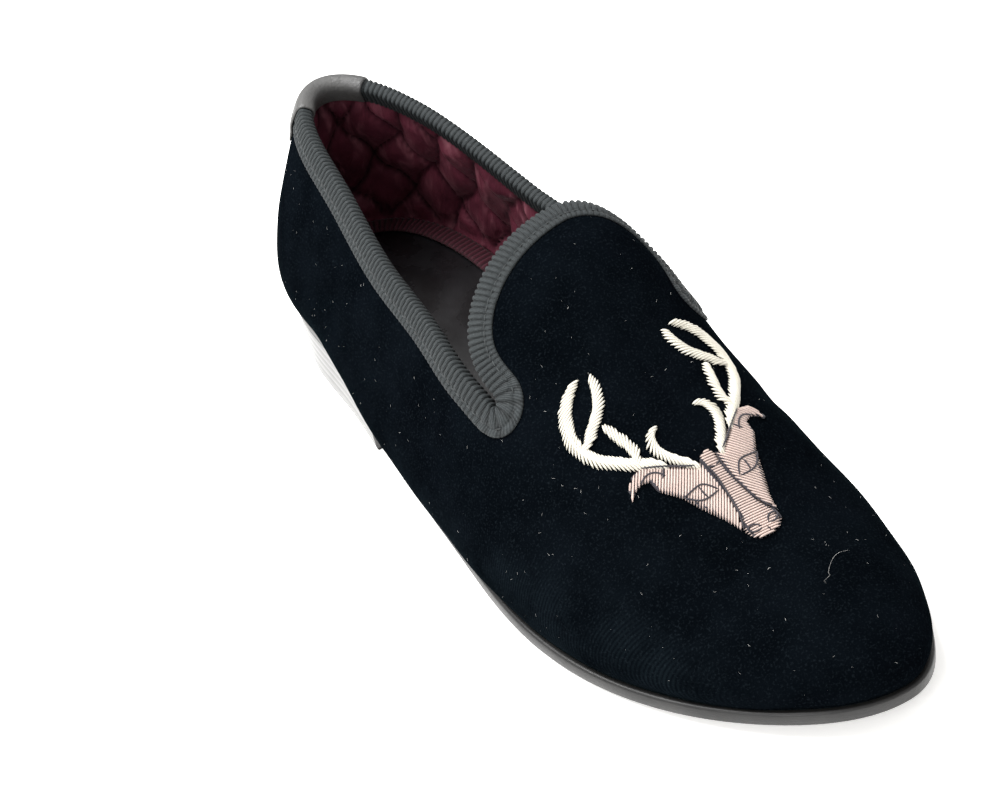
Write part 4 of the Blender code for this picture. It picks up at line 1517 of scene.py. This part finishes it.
ANTLER_THREAD = wire_finish("antler_thread", (0.40, 0.37, 0.295), (0.80, 0.77, 0.675), 0.42, 0.45)
HEAD_THREAD = wire_finish("head_thread", (0.30, 0.215, 0.185), (0.68, 0.535, 0.475), 0.4, 0.35)
OUTLINE_THREAD = wire_finish("outline_thread", (0.004, 0.003, 0.006), (0.022, 0.018, 0.028), 0.55, 0.4)
for thread in (ANTLER_THREAD, HEAD_THREAD, OUTLINE_THREAD):
    tell(thread)

# %% [markdown]
# ## Antlers
# On the shoe the antlers are slanted satin stitches over a soft core, so they look like rope. A twisted
# tube could stand in for them, but its ends would be smooth. Here each stitch is a thread of its own,
# laid across the branch at a slant, and its ends make the ragged edge that embroidery has.

# %% Antlers in slanted satin stitch
SATIN_PITCH = 1.2
SATIN_SLANT = math.radians(36)


def satin_branch(points, half, sign):
    """Slanted stitches across a branch, narrower at its tip."""
    line = smooth_line(points, SATIN_PITCH)
    ahead = unit(np.gradient(line, axis=0))
    c, s = math.cos(SATIN_SLANT), math.sin(SATIN_SLANT)
    slant = np.stack([c * ahead[:, 0] - s * ahead[:, 1], s * ahead[:, 0] + c * ahead[:, 1]], -1)
    end = np.linspace(0, 1, len(line))
    width = half / s * np.sqrt(np.clip((1.06 - end) / 0.22, 0.12, 1)) * np.clip(end / 0.05 + 0.6, 0, 1)
    width = width * np.random.default_rng(len(line)).uniform(0.88, 1.1, len(line))
    reach = np.linspace(-1, 1, 9)
    flat = line[:, None] + slant[:, None] * (width[:, None] * reach)[..., None]
    flat[..., 0] *= sign
    return lay_threads(flat, base=0.15, arch=0.95, radius=0.41, roll=0.7, blunt=4)


def padding(points, half, sign):
    """Soft core that the slanted stitches are laid over."""
    line = smooth_line(mirrored(points, sign), SATIN_PITCH)
    return lay_threads(line[None], base=0.2, arch=0.2, radius=0.48 * half, roll=0.3)


for sign, side in ((1, "right"), (-1, "left")):
    branches = []
    for points, half in [(BEAM, ANTLER_HALF)] + [(tine, TINE_HALF) for tine in TINES]:
        branches += [satin_branch(points, half, sign), padding(points, half, sign)]
    antler = join_threads("antler_" + side, branches, ANTLER_THREAD)
    wear_piece(antler, "antler_thread", "stag_antler_" + side)

# %% [markdown]
# ## Head
# The head is filled with rows of fine metal wire, laid side by side across each part of it. A striped
# texture would not shine row by row as wire does. So a needle's work is copied: straight lines cut the
# flat outline, and each piece of line between two cuts becomes a thread.

# %% Head in rows of wire
WIRE_PITCH = 0.84
SHORTEST_WIRE = 0.7
WIRE_OVERHANG = 0.15
WIRE_SHARE = np.linspace(0, 1, 8)[None, :, None]


def fill_rows(polygon, direction, pitch):
    """Straight rows of points that fill a flat polygon, as a needle would lay them."""
    p = np.asarray(polygon, float)
    d = unit(np.asarray(direction, float))
    n = np.array([-d[1], d[0]])
    a, b = p @ d, p @ n
    found = []
    for level in np.arange(b.min() + pitch / 2, b.max(), pitch):
        cuts = []
        for i in range(len(p)):
            b0, b1 = b[i - 1], b[i]
            if (b0 - level) * (b1 - level) < 0:
                cuts.append(a[i - 1] + (a[i] - a[i - 1]) * (level - b0) / (b1 - b0))
        cuts.sort()
        for low, high in zip(cuts[::2], cuts[1::2]):
            if high - low > SHORTEST_WIRE:
                ends = np.array([low - WIRE_OVERHANG, high + WIRE_OVERHANG])
                found.append(ends[:, None] * d + level * n)
    ends = np.array(found)
    return ends[:, :1] + (ends[:, 1:] - ends[:, :1]) * WIRE_SHARE


def wire_rows(polygon, direction):
    rows = fill_rows(polygon, direction, WIRE_PITCH)
    return lay_threads(rows, base=0.35, arch=0.5, radius=0.36, roll=0.35)


nose_outline = NOSE + mirrored(NOSE[-2:0:-1], -1)
bundles = [wire_rows(nose_outline, (1.0, -0.15))]
for sign in (1, -1):
    bundles.append(wire_rows(mirrored(CHEEK, sign), (-0.62 * sign, 0.78)))
wear_piece(join_threads("stag_head_wires", bundles, HEAD_THREAD), "head_thread", "stag_head")

# %% [markdown]
# ## Dark threads
# Single dark threads draw the brow, the ears, the eyes and the nostrils over the wire, and a ground of
# dark thread shows between its rows. Colour painted on the wire would blur across the rows, so these are
# threads too: thin ones laid on top, and thick ones laid under.

# %% Dark threads and ground of the head
OUTLINE_R = 0.29
GROUND_PITCH = 1.3
dark = []
for line in DARK_LINES:
    for sign in (1, -1):
        run = smooth_line(mirrored(line, sign), 0.9)
        dark.append(lay_threads(run[None], base=1.0, arch=0.15, radius=OUTLINE_R, roll=0.2))
for polygon in (nose_outline, mirrored(CHEEK, 1), mirrored(CHEEK, -1)):
    rows = fill_rows(polygon, (0.0, 1.0), GROUND_PITCH)
    dark.append(lay_threads(rows, base=0.1, arch=0.2, radius=0.7, roll=0.4))
wear_piece(join_threads("stag_dark_threads", dark, OUTLINE_THREAD), "head_thread")

# %% [markdown]
# ## Lint
# Velvet collects lint. White specks in the material would do, but they would look painted on. So points
# are scattered on the outside of the upper with a fixed seed, and each takes a short bent fibre of random
# size, turned at random.

# %% Lint by Geometry Nodes
LINT_DENSITY = 9000.0
LINT_SEED = 11
LINT_SIZE = (0.1, 0.62)


def lint_tree():
    tree, given, out = new_group("Lint", [("Geometry", "Geometry", None), ("Fibre", "Object", None),
                                          ("Density", "Float", None), ("Finish", "Material", None)],
                                 [("Geometry", "Geometry")], "Geometry")
    spread = put(tree, "GeometryNodeDistributePointsOnFaces", Mesh=given["Geometry"],
                 Density=given["Density"], Seed=LINT_SEED)
    spin = put(tree, "FunctionNodeRandomValue", {"data_type": 'FLOAT_VECTOR'}, Seed=LINT_SEED + 1)
    spin.inputs["Min"].default_value = (-0.25, -0.25, 0.0)
    spin.inputs["Max"].default_value = (0.25, 0.25, 6.28)
    turn = put(tree, "FunctionNodeRotateRotation", {"rotation_space": 'LOCAL'},
               Rotation=spread.outputs["Rotation"])
    tree.links.new(spin.outputs["Value"], turn.inputs["Rotate By"])
    length = put(tree, "FunctionNodeRandomValue", {"data_type": 'FLOAT'}, Seed=LINT_SEED + 2)
    limits = [s for s in length.inputs if s.type == 'VALUE' and s.name in ("Min", "Max")]
    for socket, value in zip(limits, LINT_SIZE):
        socket.default_value = value
    size = [s for s in length.outputs if s.type == 'VALUE'][0]
    lay_copies(tree, out, spread.outputs["Points"], given["Fibre"], turn, size, given["Finish"])
    return tree


def fibre_shape():
    """Bent fibre, a millimetre and a half long before it is scaled, a hair above the pile."""
    x = np.linspace(-0.75, 0.75, 6)
    line = np.stack([x, 0.35 * x ** 2, 0.22 - 0.12 * x ** 2], -1)
    a = np.linspace(0, 2 * np.pi, 4, endpoint=False)
    ring = line[:, None] + 0.05 * np.stack([0 * a, np.cos(a), np.sin(a)], -1)[None]
    mesh = bpy.data.meshes.new("one_fibre")
    faces = grid_faces(6, 4, False, True)[:, ::-1].tolist() + [[3, 2, 1, 0], [20, 21, 22, 23]]
    mesh.from_pydata((ring.reshape(-1, 3) * MM).tolist(), [], faces)
    return add_object("one_fibre", mesh)


LINT = thread_finish("lint", (0.16, 0.16, 0.16), (0.70, 0.70, 0.67), 0.7, 600.0)
FIBRE = fibre_shape()
lint = make_piece("lint", velvet_front, NET_FACES, LINT, closed=False)
lint = grow(lint, lint_tree(), Fibre=FIBRE, Density=LINT_DENSITY, Finish=LINT)
wear_piece(lint, "velvet")

# %% [markdown]
# ## A long hair
# One pale hair lies on the toe. A curve with a bevel would make it, but it would have to be bent to the
# vamp by hand. The function for threads already follows the vamp, so the hair is one very thin thread.

# %% Long hair on the toe
HAIR = [(14.5, -47.5), (11.5, -46.6), (8.5, -46.8), (5, -48.3), (2.2, -50.3), (0.5, -52.4)]
hair_run = smooth_line(HAIR, 0.8)
hair_thread = lay_threads(hair_run[None], base=0.15, arch=0.3, radius=0.03, roll=1.0)
hair = join_threads("toe_hair", [hair_thread], LINT)
wear_piece(hair, "velvet")
for helper in (STITCH, FIBRE):
    bpy.data.objects.remove(helper)

# %% [markdown]
# ## Studio
# The picture is high key: a white floor that burns out, one large soft light overhead, a weaker one at
# the side and a white room all round. The camera is long and a little rolled, so that the shoe runs down
# to the right.

# %% Floor, light and camera
CAMERA_AZIMUTH = math.radians(-27.4)
CAMERA_ELEVATION = math.radians(37.4)
CAMERA_ROLL = math.radians(-10.8)
CAMERA_DISTANCE = 0.7354
CAMERA_AIM = Vector((-0.0163, 0.0092, 0.0394))
CAMERA_LENS = 82.6
FLOOR_HALF = 30.0


def floor_piece():
    mat, tree, shader, at = new_finish("pale_floor", Specular_IOR_Level=0.1)
    cloud = use(tree, CLOUD, Vector=at["Object"], Scale=2.0)
    colour(tree, shader, blend_colour(tree, cloud["Shade"], (0.93, 0.925, 0.915), (0.96, 0.955, 0.945)))
    shader.inputs["Roughness"].default_value = 0.9
    shader.inputs["Emission Color"].default_value = (1.0, 0.99, 0.97, 1)
    shader.inputs["Emission Strength"].default_value = 0.45
    mesh = bpy.data.meshes.new("floor")
    corners = [(a * FLOOR_HALF, b * FLOOR_HALF, 0) for a, b in ((-1, -1), (1, -1), (1, 1), (-1, 1))]
    mesh.from_pydata(corners, [], [[0, 1, 2, 3]])
    mesh.materials.append(mat)
    add_object("floor", mesh)


def soft_light(name, place, aim, size, power):
    data = bpy.data.lights.new(name, 'AREA')
    data.shape = 'DISK'
    data.size = size
    data.energy = power
    ob = add_object(name, data)
    ob.location = place
    ob.rotation_euler = (Vector(aim) - Vector(place)).to_track_quat('-Z', 'Y').to_euler()


def studio_camera():
    a, e = CAMERA_AZIMUTH, CAMERA_ELEVATION
    back = Vector((math.sin(a) * math.cos(e), -math.cos(a) * math.cos(e), math.sin(e)))
    right = Vector((math.cos(a), math.sin(a), 0))
    up = back.cross(right)
    c, s = math.cos(CAMERA_ROLL), math.sin(CAMERA_ROLL)
    rolled_right, rolled_up = right * c + up * s, up * c - right * s
    data = bpy.data.cameras.new("camera")
    data.lens = CAMERA_LENS
    data.clip_start = 0.01
    ob = add_object("camera", data)
    turn = Matrix((rolled_right, rolled_up, back)).transposed().to_4x4()
    ob.matrix_world = Matrix.Translation(CAMERA_AIM + back * CAMERA_DISTANCE) @ turn
    bpy.context.scene.camera = ob


floor_piece()
soft_light("overhead", place=(-0.35, 0.45, 1.25), aim=(0, 0, 0.03), size=0.9, power=40.0)
soft_light("side", place=(-1.1, -0.6, 0.8), aim=(0, 0, 0.05), size=0.7, power=8.0)
world = bpy.data.worlds.new("white_room")
world.use_nodes = True
world.node_tree.nodes["Background"].inputs["Color"].default_value = (1.0, 0.995, 0.985, 1)
world.node_tree.nodes["Background"].inputs["Strength"].default_value = 0.75
bpy.context.scene.world = world
bpy.context.scene.view_settings.view_transform = 'Standard'
studio_camera()
print("camera stands", CAMERA_DISTANCE, "m from the shoe with a lens of", CAMERA_LENS, "mm")
